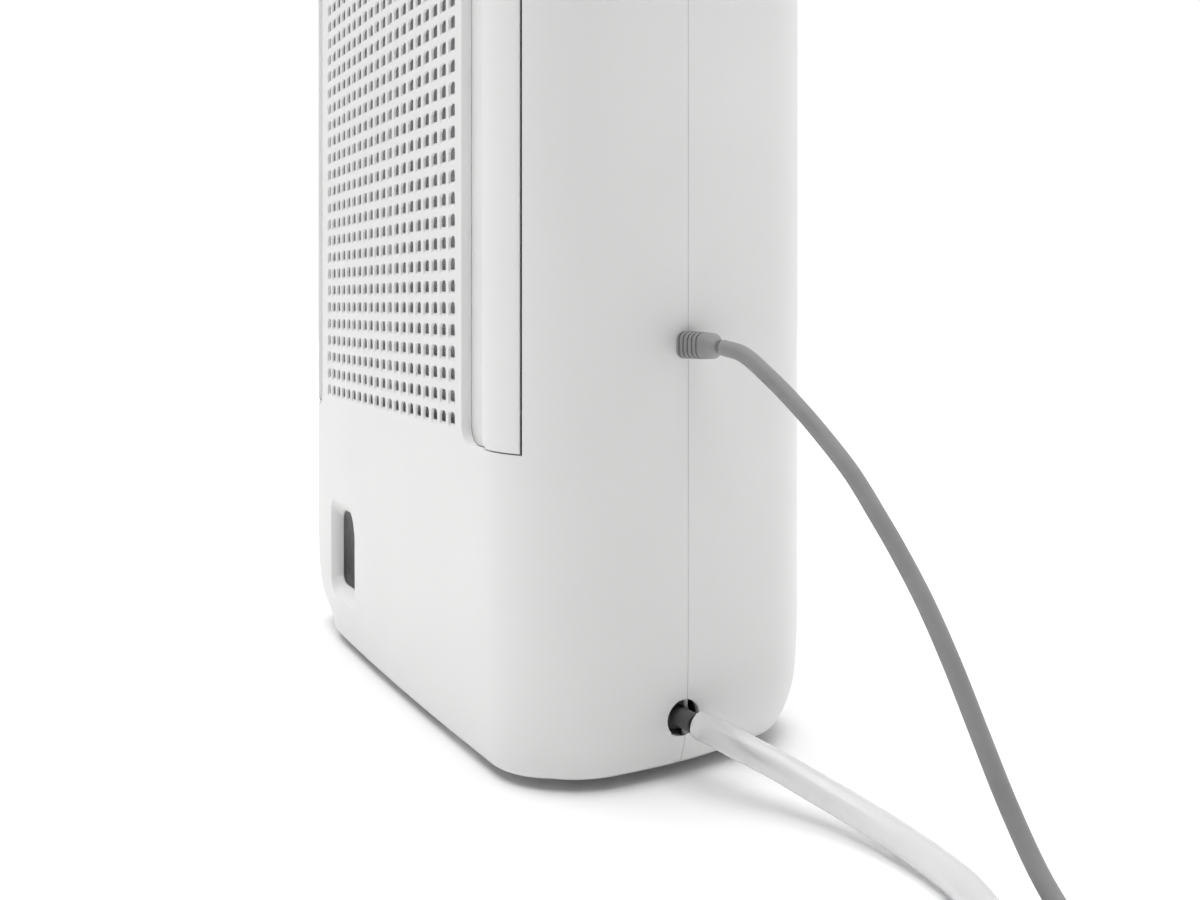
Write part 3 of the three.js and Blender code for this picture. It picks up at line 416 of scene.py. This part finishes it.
def table(rows, at):
    if at <= rows[0][0]:
        return rows[0][1]
    for (x0, y0), (x1, y1) in zip(rows, rows[1:]):
        if at <= x1:
            return y0 + (y1 - y0) * (at - x0) / (x1 - x0)
    return rows[-1][1]


def draw_in(x, y):
    along_depth = table([(-79, 0.15), (-65, 0.45), (0, 0.6), (79, 1)], y)
    far_corner = table([(-130, 1), (-95, 0.15)], x)
    return max(along_depth, far_corner if y < 0 else 0)


def surface(station, z, inward=0.0):
    x, y, nx, ny = station
    inset = table(BOTTOM_PROFILE, z) * draw_in(x, y) + inward
    rise = z - (HEIGHT - TOP_EDGE_RADIUS)
    if rise > 0:
        inset += TOP_EDGE_RADIUS - math.sqrt(max(0, TOP_EDGE_RADIUS ** 2 - rise ** 2))
    return x - nx * inset, y - ny * inset, z


def mirror_depth(station):
    return station[0], -station[1], station[2], -station[3]


def mirror_width(station):
    return -station[0], station[1], -station[2], station[3]


def side_station(y):
    return on_arc(SIDE_CENTRE, 0, SIDE_BOW, math.asin(y / SIDE_BOW))


# ---- the drain hole: its rim runs through crossings of the shells' grid lines --------------------------
def drain_lines(middle):
    half_turn = range(DRAIN_STEPS // 2 + 1)
    return [middle + DRAIN_RADIUS * math.cos(2 * math.pi * k / DRAIN_STEPS) for k in half_turn]


def clear_of_drain(corners):
    """The cell's corners outside the drain hole: a cell on the rim keeps three, one inside keeps none."""
    def outside(station, z):
        return station[0] < 0 or math.hypot(station[1] - DRAIN_Y, z - DRAIN_Z) > DRAIN_RADIUS - 0.02
    kept = [corner for corner in corners if outside(*corner)]
    return kept if len(kept) > 2 else []


def drain_rim(sheet, on_this_side):
    turns = [2 * math.pi * k / DRAIN_STEPS for k in range(DRAIN_STEPS + 1)]
    rim = [(side_station(DRAIN_Y + DRAIN_RADIUS * math.cos(t)), DRAIN_Z + DRAIN_RADIUS * math.sin(t))
           for t in turns]
    for (s0, z0), (s1, z1) in zip(rim, rim[1:]):
        if on_this_side(s0[1]) and on_this_side(s1[1]):
            sheet.face(surface(s0, z0), surface(s1, z1), surface(s1, z1, WALL), surface(s0, z0, WALL))


# ---- rear shell: a grid of stations and heights with openings cut on its lines -------------------------
def rear_stations():
    """Stations from the seam on the right, round the intake face, to the seam on the left."""
    seam = SEAM_Y - SEAM_GAP / 2
    sides = [side_station(y) for y in [seam, *drain_lines(DRAIN_Y)] if y == seam or y < seam - 0.2]
    edge = GRILLE_X + GRILLE_PITCH * GRILLE_COLUMNS / 2
    xs = [edge - GRILLE_PITCH * i for i in range(GRILLE_COLUMNS + 1)]
    xs += [RIGHT_WALL, RIGHT_STRIP, RIGHT_EDGE + STRIP_PLAY, LEFT_WALL, LEFT_STRIP, LEFT_EDGE - STRIP_PLAY,
           WINDOW["left"] - WINDOW_BORDER]
    kept = sides + [mirror_width(s) for s in sides] + [mirror_depth(face_station(x)) for x in xs]
    quarter = [mirror_depth(s) for s in quarter_stations(14, 20, 2)]
    quarter = [s for s in quarter if s[1] < seam - 1.5 and s[0] > 120]
    for station in quarter + [mirror_width(s) for s in quarter]:
        if all(math.hypot(station[0] - s[0], station[1] - s[1]) > 0.4 for s in kept):
            kept.append(station)
    return sorted(kept, key=lambda s: -math.atan2(s[0], -s[1]))


def rear_heights():
    wanted = [SHELL_BOTTOM, SHELL_TOP, BAY_BOTTOM, BAY_TOP, *drain_lines(DRAIN_Z)]
    wanted.append(WINDOW["top"] + WINDOW_BORDER)
    wanted += [FIRST_ROW_Z - ROW_PITCH / 2 + ROW_PITCH * i for i in range(ROWS + 1)]
    return spaced(wanted + [z for z, _ in BOTTOM_PROFILE] + [110, 425, 450])


def arched_hole(x, z, width, height, steps=7):
    """A hole with a flat sill, small lower corners and an arched top, anticlockwise from the lower right."""
    half, rise = width / 2, 2.1
    low, spring = z - height / 2, z + height / 2 - rise
    outline = [(x - half, low + 0.5), (x - half + 0.5, low), (x + half - 0.5, low), (x + half, low + 0.5)]
    for i in range(steps):
        angle = math.pi * i / (steps - 1)
        across, up = math.cos(angle), math.sin(angle)
        outline.append((x + half * math.copysign(abs(across) ** 0.75, across), spring + rise * up ** 0.75))
    return outline


def rear_shell():
    stations, zs = rear_stations(), rear_heights()
    xs = [s[0] for s in stations]
    sheet = Sheet()

    def at(x, z, inward=0.0):
        return surface(mirror_depth(face_station(x)), z, inward)

    def nearest(lines, wanted):
        return min(lines, key=lambda line: abs(line - wanted))

    bays = [(RIGHT_WALL, RIGHT_EDGE + STRIP_PLAY, BAY_BOTTOM, BAY_TOP),
            (LEFT_EDGE - STRIP_PLAY, LEFT_WALL, BAY_BOTTOM, BAY_TOP)]
    recess = (nearest(xs, WINDOW["left"] - WINDOW_BORDER), nearest(xs, WINDOW["right"] + WINDOW_BORDER),
              nearest(zs, WINDOW["bottom"] - WINDOW_BORDER), nearest(zs, WINDOW["top"] + WINDOW_BORDER))
    right = GRILLE_X + GRILLE_PITCH * GRILLE_COLUMNS / 2
    grid = (right - GRILLE_PITCH * GRILLE_COLUMNS, right, FIRST_ROW_Z - ROW_PITCH / 2,
            FIRST_ROW_Z + ROW_PITCH * (ROWS - 0.5))

    for s0, s1 in zip(stations, stations[1:]):
        x = (s0[0] + s1[0]) / 2
        for z0, z1 in zip(zs, zs[1:]):
            z = (z0 + z1) / 2
            if s0[1] < -60 and any(b[0] < x < b[1] and b[2] < z < b[3] for b in [*bays, recess, grid]):
                continue
            corners = clear_of_drain([(s0, z0), (s1, z0), (s1, z1), (s0, z1)])
            sheet.face(*[surface(*corner) for corner in corners])

    def hole(x, z):
        """One grille cell: the land round a hole, its rounded rim, and a draughted wall with a sloping sill."""
        west, east = x - GRILLE_PITCH / 2, x + GRILLE_PITCH / 2
        south, north = z - ROW_PITCH / 2, z + ROW_PITCH / 2
        rims = []
        for inward, shrink, lift in [(0, 0, 0), (0.25, 0.2, 0.3), (1.2, 0.4, 1.3)]:
            flat = arched_hole(x, z + lift / 2, HOLE_WIDTH - 2 * shrink, HOLE_HEIGHT - lift - shrink)
            rims.append([at(px, pz, inward) for px, pz in flat])
        sw, se, ne, nw = [at(*c) for c in [(west, south), (east, south), (east, north), (west, north)]]
        rim = rims[0]
        sheet.face(sw, se, rim[2], rim[1])
        sheet.face(se, ne, rim[4], rim[3], rim[2])
        sheet.face(ne, nw, *reversed(rim[4:]))
        sheet.face(nw, sw, rim[1], rim[0], rim[-1])
        sheet.strips(rims, closed=True)

    for column in range(GRILLE_COLUMNS):
        for row in range(ROWS):
            hole(GRILLE_X + (column - (GRILLE_COLUMNS - 1) / 2) * GRILLE_PITCH, FIRST_ROW_Z + row * ROW_PITCH)

    def bay_wall(wall, edge, far_corners=9, steps=8):
        """The bay's outline, rounded beside the grip groove and run back as far as the cassette's face."""
        out = 1 if edge > wall else -1
        lines = [z for z in zs if BAY_BOTTOM <= z <= BAY_TOP]
        turns = [math.pi / 2 * k / steps for k in range(steps + 1)]
        path = [(edge, z) for z in lines]
        for corner_z, up in ((BAY_TOP, -1), (BAY_BOTTOM, 1)):
            arc = [(wall + out * far_corners * (1 - math.sin(t)),
                    corner_z + up * far_corners * (1 - math.cos(t))) for t in turns]
            for a, b in zip(arc, arc[1:]):
                sheet.face(at(wall, corner_z), at(*a), at(*b))
            path += arc if up < 0 else [(wall, z) for z in reversed(lines) if far_corners < z - BAY_BOTTOM
                                        and far_corners < BAY_TOP - z] + arc[::-1]
        path += [(x, BAY_BOTTOM) for x in sorted(xs, key=lambda x: x * out)
                 if wall * out + far_corners < x * out < edge * out]
        skin_points = [at(x, z) for x, z in path]
        sheet.strips([
            skin_points,
            [(x, y + 0.5, z) for x, y, z in skin_points],
            [(x, max(y + 3.2, FILTER_FRONT - 0.2), z) for x, y, z in skin_points],
        ], closed=True)

    bay_wall(RIGHT_WALL, RIGHT_EDGE + STRIP_PLAY)
    bay_wall(LEFT_WALL, LEFT_EDGE - STRIP_PLAY)
    window_recess(sheet, at, sorted(x for x in xs if recess[0] <= x <= recess[1]),
                  [z for z in zs if recess[2] <= z <= recess[3]])
    drain_rim(sheet, lambda y: y < SEAM_Y)
    for end in (stations[0], stations[-1]):
        sheet.strips([[surface(end, z, inward) for z in zs] for inward in (0, WALL)])
    for z in (zs[0], zs[-1]):
        sheet.strips([[surface(s, z, inward) for s in stations] for inward in (0, WALL)])
    finish_piece("rear_shell_fine", sheet.points, sheet.faces, "shell", "housing", ["rear_shell"], 40)


def window_recess(sheet, at, xs, zs):
    """The level window's recess: a mouth with an arched corner, whose walls slope down to the window."""
    w, p = WINDOW, PANE
    border = [(x, zs[0]) for x in xs] + [(xs[-1], z) for z in zs[1:]]
    border += [(x, zs[-1]) for x in reversed(xs[:-1])] + [(xs[0], z) for z in reversed(zs[1:-1])]
    mouth = rounded_box(w["left"], w["right"], w["bottom"], w["top"], (17, 9, 9, 9), 8)
    lip = rounded_box(w["left"] + 0.5, w["right"] - 0.3, w["bottom"] + 0.5, w["top"] - 0.5,
                      (16.6, 8.6, 8.6, 8.6), 8)
    pane = rounded_box(p["left"], p["right"], p["bottom"], p["top"], (12, 6, 6, 6), 8)
    outer, inner = [[sheet.vertex(at(*c)) for c in loop] for loop in (border, mouth)]
    bridge(sheet.faces, outer, border, inner, mouth)
    lip_points = [at(*c) for c in lip]
    sheet.strips([
        [at(*c) for c in mouth],
        [(x, y + 0.45, z) for x, y, z in lip_points],
        [(x, w["floor"], z) for x, z in pane],
        [(x, w["floor"] + 1.6, z) for x, z in pane],
    ], closed=True)


def bridge(faces, outer, outer_flat, inner, inner_flat):
    """Triangles between two closed loops round the same middle, walked by angle."""
    cx = sum(p[0] for p in inner_flat) / len(inner_flat)
    cz = sum(p[1] for p in inner_flat) / len(inner_flat)

    def turned(loop, flat):
        angles = [math.atan2(z - cz, x - cx) % (2 * math.pi) for x, z in flat]
        first = angles.index(min(angles))
        order = [(first + i) % len(loop) for i in range(len(loop))]
        return [loop[i] for i in order], [angles[i] for i in order]

    a, a_at = turned(outer, outer_flat)
    b, b_at = turned(inner, inner_flat)
    i = j = 0
    while i < len(a) or j < len(b):
        next_a = a_at[i + 1] if i + 1 < len(a) else a_at[0] + 2 * math.pi
        next_b = b_at[j + 1] if j + 1 < len(b) else b_at[0] + 2 * math.pi
        if j >= len(b) or (i < len(a) and next_a <= next_b):
            faces.append((a[i % len(a)], a[(i + 1) % len(a)], b[j % len(b)]))
            i += 1
        else:
            faces.append((a[i % len(a)], b[(j + 1) % len(b)], b[j % len(b)]))
            j += 1


# ---- front shell, tank front and top cover -------------------------------------------------------------
def front_shell():
    seam = SEAM_Y + SEAM_GAP / 2
    low_side = [side_station(y) for y in [seam, *drain_lines(DRAIN_Y)] if y == seam or seam + 0.2 < y < 0]
    extra = [face_station(x) for x in (BAY["side"], 60, 20)]
    right = sorted(low_side + quarter_stations(12, 20, 12) + extra, key=lambda s: math.atan2(s[1], s[0]))
    stations = right + [mirror_width(s) for s in reversed(right[:-1])]
    wanted = [SHELL_BOTTOM, SHELL_TOP, BAY["bottom"], BAY["top"], *drain_lines(DRAIN_Z)]
    zs = spaced(wanted + [z for z, _ in BOTTOM_PROFILE] + [150, 200, 250, 300, 350, 400, 440])
    sheet = Sheet()
    for s0, s1 in zip(stations, stations[1:]):
        on_face = s0[1] > 60 and abs((s0[0] + s1[0]) / 2) < BAY["side"]
        for z0, z1 in zip(zs, zs[1:]):
            if not (on_face and BAY["bottom"] <= z0 < BAY["top"]):
                corners = clear_of_drain([(s0, z0), (s1, z0), (s1, z1), (s0, z1)])
                sheet.face(*[surface(*corner) for corner in corners])

    def wall(places):
        sheet.strips([[surface(s, z, inward) for s, z in places] for inward in (0, WALL)])

    for x in (BAY["side"], -BAY["side"]):
        wall([(face_station(x), z) for z in zs if BAY["bottom"] <= z <= BAY["top"]])
    for z in (BAY["bottom"], BAY["top"]):
        wall([(s, z) for s in stations if s[1] > 60 and abs(s[0]) <= BAY["side"] + 0.01])
    for z in (zs[0], zs[-1]):
        wall([(s, z) for s in stations])
    for s in (stations[0], stations[-1]):
        wall([(s, z) for z in zs])
    drain_rim(sheet, lambda y: y > SEAM_Y)
    finish_piece("front_shell_fine", sheet.points, sheet.faces, "shell", "housing", ["front_shell"], 40)


def tank_front():
    """The drawer's front: the same skin between the bay's edges, with a finger scoop's lip along its top."""
    side = BAY["side"] - 1
    stations = [face_station(side - 2 * side * i / 40) for i in range(41)]
    zs = [11, 11.8, 13, 16, 20, 24, 30, 38, 48, 60, 80, 100, 112, 116.2, 117]
    outer = [[surface(s, z, 0.5 if z in (11, 117) else 0) for s in stations] for z in zs]
    inner = [[surface(s, z, WALL) for s in stations] for z in zs]
    rings = [o + list(reversed(i)) for o, i in zip(outer, inner)]
    points, faces = skin(rings)
    finish_piece("tank_front_fine", points, faces, "shell", "tank", ["tank_front"], 40)


def top_cover():
    """The cover: a rounded edge and a flat top with the outlet, the handle's well and the panel's bay."""
    quarter = quarter_stations(8, 18, 10)
    half = quarter + [mirror_width(s) for s in reversed(quarter[:-1])]
    stations = half + [mirror_depth(s) for s in reversed(half[1:-1])]
    start = HEIGHT - TOP_EDGE_RADIUS
    levels = [(SHELL_TOP + 0.3, WALL), (SHELL_TOP + 0.3, 0.4), (SHELL_TOP + 0.7, 0), (start, 0)]
    levels += [(start + TOP_EDGE_RADIUS * math.sin(math.pi / 2 * i / 10), 0) for i in range(1, 11)]
    sheet = Sheet()
    rows = [[surface(s, z, inward) for s in stations] for z, inward in levels]
    sheet.strips(rows, closed=True)
    # each mouth: left, right, low, high, corner radius, floor
    outlet = (-100, 100, -8, 40, 1, 478)
    well = (-80, 80, -62, -22, 6, 470)
    bay = (-96.4, 96.4, 44.6, 63.5, 2, 487.4)
    mouths = []
    for left, right, low, high, radius, floor in (outlet, well, bay):
        walls = []
        for grow, z in [(0.5, HEIGHT), (0.15, HEIGHT - 0.15), (0, HEIGHT - 0.5), (0, floor)]:
            outline = rounded_box(left - grow, right + grow, low - grow, high + grow, (radius + grow,) * 4)
            walls.append([(x, y, z) for x, y in outline])
        sheet.strips(walls, closed=True)
        mouths.append(walls[0])
        if floor == well[-1]:
            sheet.face(*walls[-1])
    for triangle in filled(rows[-1], *mouths):
        sheet.face(*triangle)
    finish_piece("top_cover_fine", sheet.points, sheet.faces, "shell", "housing", ["top_cover"], 40, 0.004)


# ---- cassettes, level window and strain relief ---------------------------------------------------------
def cassette(hand, wall, strip, edge, inner):
    """A grip strip that carries on the corner's curve, a thin frame behind the grille, and its dust net."""
    out = 1 if edge > 0 else -1
    body = "filter_" + hand
    start = strip + 1.4 * out
    shares = [0, 0.02, 0.055, 0.1, 0.16, *[i / 12 for i in range(3, 12)], 0.97, 0.99, 1]
    rounded_edge = [3.2, 1.7, 0.7, 0.2]
    rises = [0, 0.3, 1, 10, 60, 130, 200, 257, 266.3, 267, 267.3]
    rounding = {0: 0.6, 1: 0.15}
    corner = 8
    sheet, rows = Sheet(), []
    for j, rise in enumerate(rises):
        row = []
        for i, share in enumerate(shares):
            x = start + (edge - start) * share
            near = max(0, corner - abs(x - start))
            lift = corner - math.sqrt(corner ** 2 - near ** 2)
            z = 136.3 + lift + rise * (1 - 2 * lift / rises[-1])
            border = min(j, len(shares) - 1 - i, len(rises) - 1 - j)
            inset = max(rounding.get(border, 0), rounded_edge[i] if i < len(rounded_edge) else 0)
            row.append(surface(mirror_depth(face_station(x)), z, inset))
        rows.append(row)
    sheet.strips(rows)
    rim = [*rows[0], *[r[-1] for r in rows[1:]]]
    rim += [*reversed(rows[-1][:-1]), *[r[0] for r in reversed(rows[1:-1])]]
    back = [(x, FILTER_BACK, z) for x, _, z in rim]
    sheet.strips([rim, back], closed=True)
    sheet.face(*back)
    outer_rail, ends = wall - 3 * out, (136.1, 403.7)
    rails = [(outer_rail, strip + 2 * out, *ends), (inner, inner + 1.4 * out, *ends),
             (inner, outer_rail, ends[0], ends[0] + 4), (inner, outer_rail, ends[1] - 4, ends[1])]
    for x0, x1, z0, z1 in rails:
        sheet.box(min(x0, x1), max(x0, x1), FILTER_FRONT, FILTER_BACK, z0, z1)
    frame_node, net_node = "filter_frame_" + hand, "filter_mesh_" + hand
    finish_piece(frame_node + "_fine", sheet.points, sheet.faces, "shell", body, [frame_node], 40)
    net = Sheet()
    x0, x1 = sorted((inner + 1.6 * out, outer_rail - 0.2 * out))
    net.box(x0, x1, FILTER_FRONT + 0.5, FILTER_BACK - 0.3, ends[0] + 4.2, ends[1] - 4.2)
    finish_piece(net_node + "_fine", net.points, net.faces, "mesh", body, [net_node])


def level_window():
    p, face, sheet = PANE, WINDOW["floor"] + 0.3, Sheet()
    rows = []
    for shrink, y in [(0.6, face), (0.3, face + 0.15), (0.2, face + 0.5), (0.2, face + 2.2)]:
        outline = rounded_box(p["left"] + shrink, p["right"] - shrink, p["bottom"] + shrink,
                              p["top"] - shrink, (11.8, 5.8, 5.8, 5.8), 8)
        rows.append([(x, y, z) for x, z in outline])
    sheet.strips(rows, closed=True)
    sheet.face(*rows[0])
    sheet.face(*rows[-1])
    finish_piece("level_window_fine", sheet.points, sheet.faces, "smoked", "housing", ["level_window"], 50)


def strain_relief():
    """A tapering sleeve with five ribs and a round nose."""
    profile = [(164, 0)]
    for rib in range(5):
        x = 170 + 2.9 * rib
        profile += [(x, 0), (x + 0.12, 0.9), (x + 0.95, 0.9), (x + 1.1, 0)]
    profile += [(185, 0.1), (186.6, 0.6), (188.2, 1.3), (189.6, 1.9), (190.6, 2.2), (191, 2.6)]
    sheet, rows = Sheet(), []
    for x, shrink in profile:
        taper = max(0, x - 169) / 40
        half_width, half_height = 5.8 - taper - shrink, 5.6 - taper - shrink
        radius = min(half_width, half_height, 3.4 + max(0, x - 184) / 2)
        outline = rounded_box(-half_width, half_width, -half_height, half_height, (radius,) * 4, 8)
        rows.append([(x, SEAM_Y + y, 180.3 + z) for y, z in outline])
    sheet.strips(rows, closed=True)
    sheet.face(*rows[0])
    sheet.face(*rows[-1])
    finish_piece("strain_relief_fine", sheet.points, sheet.faces, "cord", "housing", ["strain_relief"], 50)


def softened(node, width):
    """A copy of a CAD piece with its edges rounded, in its place."""
    mesh = NODES[node].data.copy()
    mesh.transform(NODES[node].matrix_world)
    piece = bpy.data.objects.new(node + "_fine", mesh)
    bpy.context.scene.collection.objects.link(piece)
    work = bmesh.new()
    work.from_mesh(mesh)
    bmesh.ops.remove_doubles(work, verts=work.verts, dist=0.000001)
    bmesh.ops.dissolve_limit(work, angle_limit=math.radians(0.5), verts=work.verts, edges=work.edges)
    edges = [e for e in work.edges if len(e.link_faces) == 2 and e.calc_face_angle() > math.radians(40)]
    bmesh.ops.bevel(work, geom=edges, offset=width * MM, segments=2, profile=0.5, affect="EDGES",
                    clamp_overlap=True)
    work.to_mesh(mesh)
    work.free()
    shade(piece, 40)
    mesh.materials.clear()
    mesh.materials.append(MATERIALS[SLOT_OF[node]])
    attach(piece, BODY_OF[node])
    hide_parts(node)


# ---- cords ---------------------------------------------------------------------------------------------
CORD_RADIUS = 3.25
HOSE_RADIUS = 5.75
CORD_REST = 0.0033
HOSE_REST = 0.00585
CORD_ROUTE = [
    (0.1924, -0.0068, 0.18), (0.202, -0.0036, 0.1774), (0.213, 0, 0.1693), (0.225, 0.0032, 0.1595),
    (0.237, 0.0063, 0.1483), (0.2486, 0.0093, 0.1361), (0.259, 0.012, 0.122), (0.267, 0.014, 0.1106),
    (0.2764, 0.0164, 0.0954), (0.286, 0.0187, 0.077), (0.2956, 0.0206, 0.057), (0.306, 0.022, 0.037),
    (0.3186, 0.0226, 0.0188), (0.333, 0.022, 0.0078), (0.35, 0.0202, 0.0039), (0.371, 0.0174, 0.0033),
    (0.409, 0.0155, 0.0033),
]
HOSE_ROUTE = [
    (0.1768, -0.0068, 0.0259), (0.185, -0.005, 0.0252), (0.194, -0.002, 0.0236), (0.202, 0.003, 0.0208),
    (0.21, 0.008, 0.0178), (0.221, 0.0134, 0.014), (0.233, 0.0178, 0.011), (0.246, 0.0208, 0.0086),
    (0.26, 0.0222, 0.0069), (0.275, 0.0218, 0.0059), (0.29, 0.0188, 0.00585), (0.305, 0.0126, 0.00585),
    (0.319, 0.0054, 0.00585), (0.334, -0.0012, 0.00585), (0.35, -0.00425, 0.00585),
]


def smooth(points, per_span=6):
    """A Catmull-Rom curve through the points."""
    line = [Vector(p) for p in points]
    line = [2 * line[0] - line[1], *line, 2 * line[-1] - line[-2]]
    found = []
    for a, b, c, d in zip(line, line[1:], line[2:], line[3:]):
        for k in range(per_span):
            t = k / per_span
            found.append(0.5 * (2 * b + (c - a) * t + (2 * a - 5 * b + 4 * c - d) * t * t
                                + (3 * b - a - 3 * c + d) * t ** 3))
    return [*found, line[-2]]


def cord_coil():
    """Two layers of three turns, wound anticlockwise: inwards on the floor, then outwards on top."""
    centre, outer, pitch, rise = Vector((0.409, 0.062, 0)), 0.0465, 0.0066, 0.0066
    turns, steps = 3, 26
    inner = outer - turns * pitch
    line = []

    def add(turn, radius, z):
        angle = -math.pi / 2 + 2 * math.pi * turn
        line.append(centre + Vector((radius * math.cos(angle), radius * math.sin(angle), z)))

    for i in range(1, turns * steps + 1):
        add(i / steps, outer - pitch * i / steps, CORD_REST)
    for i in range(1, 8):
        share = i / 8
        add(turns + 0.4 * share, inner, CORD_REST + rise * (3 * share ** 2 - 2 * share ** 3))
    whole = turns - 0.4
    for i in range(int(whole * steps) + 1):
        share = i / int(whole * steps)
        add(turns + 0.4 + whole * share, inner + (outer - inner) * share, CORD_REST + rise)
    return line


def hose_coil():
    """One turn, wound clockwise on the floor, that ends beside its start."""
    centre, radius, steps = Vector((0.35, -0.0682, 0)), 0.064, 36
    line = []
    for i in range(1, steps):
        angle = math.pi / 2 - 2 * math.pi * i / steps * 0.965
        line.append(centre + Vector((radius * math.cos(angle), radius * math.sin(angle), HOSE_REST)))
    return line


def free_cord(name, line, radius, slot):
    data = bpy.data.curves.new(name, "CURVE")
    data.dimensions = "3D"
    data.bevel_depth = radius * MM
    data.bevel_resolution = 6
    data.use_fill_caps = True
    spline = data.splines.new("POLY")
    spline.points.add(len(line) - 1)
    for point, place in zip(spline.points, line):
        point.co = (*place, 1)
    spline.use_smooth = True
    cord = bpy.data.objects.new(name, data)
    bpy.context.scene.collection.objects.link(cord)
    data.materials.append(MATERIALS[slot])
    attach(cord, "housing")
    return cord


def camera():
    data = bpy.data.cameras.new("camera")
    data.lens = 33
    data.sensor_width = 36
    data.shift_y = -0.123
    data.clip_start = 0.01
    data.clip_end = 20
    eye = bpy.data.objects.new("camera", data)
    eye.location = (0.5437, -0.2659, 0.1978)
    eye.rotation_euler = (math.pi / 2, 0, math.radians(59.95))
    bpy.context.scene.collection.objects.link(eye)
    bpy.context.scene.camera = eye


camera()

tail = [Vector((0.412, 0.0128, 0.0096)), Vector((0.4175, 0.0098, 0.0098))]
cord_line = smooth(CORD_ROUTE) + cord_coil() + tail
mains = free_cord("mains_lead", cord_line, CORD_RADIUS, "cord")
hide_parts("mains_cord", "mains_cord_coil")

hose_line = smooth(HOSE_ROUTE) + hose_coil()
hose = free_cord("clear_hose", hose_line, HOSE_RADIUS, "hose")
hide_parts("drain_hose", "drain_hose_coil")

# ---- pieces --------------------------------------------------------------------------------------------
record = frame["record"]
SLOT_OF = {part["node"]: part["material_slot"] for part in record["subparts"]}
BODY_OF = {node: body for body, nodes in record["behaviour"]["bodies"].items() for node in nodes}
rear_shell()
front_shell()
tank_front()
top_cover()
cassette("right", RIGHT_WALL, RIGHT_STRIP, RIGHT_EDGE, -7.5)
cassette("left", LEFT_WALL, LEFT_STRIP, LEFT_EDGE, -7.9)
level_window()
strain_relief()
# the CAD pieces shown with rounded edges, and the width of the rounding
SOFT = {
    "carry_handle": 1.8, "louvre_flap": 0.8, "control_panel": 0.4, "tank_body": 0.8, "tank_lid": 0.5,
    "drain_spout": 0.5, "mains_plug": 0.5, "outlet_vanes": 0.3, "outlet_duct": 0.5, "base_pan": 0.5,
    "float_block": 1, "display_lens": 0.2,
}
SOFT.update({node: 0.7 for node in NODES if node.startswith("foot_") or node.endswith("_button")})
for node, width in SOFT.items():
    softened(node, width)
for node, piece in NODES.items():
    piece.data.materials.clear()
    piece.data.materials.append(MATERIALS[SLOT_OF[node]])


# ---- studio --------------------------------------------------------------------------------------------
def studio():
    mesh = bpy.data.meshes.new("floor")
    size = 6
    corners = [(-size, -size, 0), (size, -size, 0), (size, size, 0), (-size, size, 0)]
    mesh.from_pydata(corners, [], [(0, 1, 2, 3)])
    floor = bpy.data.objects.new("floor", mesh)
    bpy.context.scene.collection.objects.link(floor)
    white = Nodes("floor_white", 0.6)
    white.base(white.ramp(white.noise(2, 2), (0.9, 0.9, 0.9, 1), (0.92, 0.92, 0.92, 1)))
    mesh.materials.append(white.material)

    world = bpy.data.worlds.new("studio")
    bpy.context.scene.world = world
    world.use_nodes = True
    surroundings(world.node_tree)
    light = bpy.data.lights.new("soft_overhead", "SUN")
    light.energy = 3.0
    light.angle = math.radians(52)
    lamp = bpy.data.objects.new("soft_overhead", light)
    tilt = math.radians(6)
    lamp.rotation_euler = Vector((0, math.sin(tilt), -math.cos(tilt))).to_track_quat("-Z", "Y").to_euler()
    bpy.context.scene.collection.objects.link(lamp)


# strength of the light from round the object: its base, its slopes along x and y, and its limits
AROUND = {"base": 0.28, "cord_side": -0.7, "room_side": 1.3, "least": 0.05, "most": 0.95}
BACKDROP = 1.02


def surroundings(tree):
    """White where the view passes the object. The light from round it is weaker on the side with the cords
    and stronger on the room's side, as between large reflectors."""
    seen, around = tree.nodes["Background"], tree.nodes.new("ShaderNodeBackground")
    for background in (seen, around):
        background.inputs["Color"].default_value = (1, 1, 1, 1)
    seen.inputs["Strength"].default_value = BACKDROP
    direction = tree.nodes.new("ShaderNodeSeparateXYZ")
    tree.links.new(tree.nodes.new("ShaderNodeTexCoord").outputs["Generated"], direction.inputs["Vector"])

    def combined(operation, first, second):
        node = tree.nodes.new("ShaderNodeMath")
        node.operation = operation
        for socket, value in zip(node.inputs, (first, second)):
            if isinstance(value, bpy.types.NodeSocket):
                tree.links.new(value, socket)
            else:
                socket.default_value = value
        return node.outputs[0]

    cord_side = combined("MULTIPLY", direction.outputs["X"], AROUND["cord_side"])
    room_side = combined("MULTIPLY", combined("MAXIMUM", direction.outputs["Y"], 0.0), AROUND["room_side"])
    strength = combined("ADD", combined("ADD", cord_side, room_side), AROUND["base"])
    strength = combined("MAXIMUM", strength, AROUND["least"])
    strength = combined("MINIMUM", strength, AROUND["most"])
    tree.links.new(strength, around.inputs["Strength"])
    choice = tree.nodes.new("ShaderNodeMixShader")
    tree.links.new(tree.nodes.new("ShaderNodeLightPath").outputs["Is Camera Ray"], choice.inputs["Fac"])
    tree.links.new(around.outputs["Background"], choice.inputs[1])
    tree.links.new(seen.outputs["Background"], choice.inputs[2])
    tree.links.new(choice.outputs["Shader"], tree.nodes["World Output"].inputs["Surface"])


studio()
bpy.context.scene.view_settings.view_transform = "Standard"
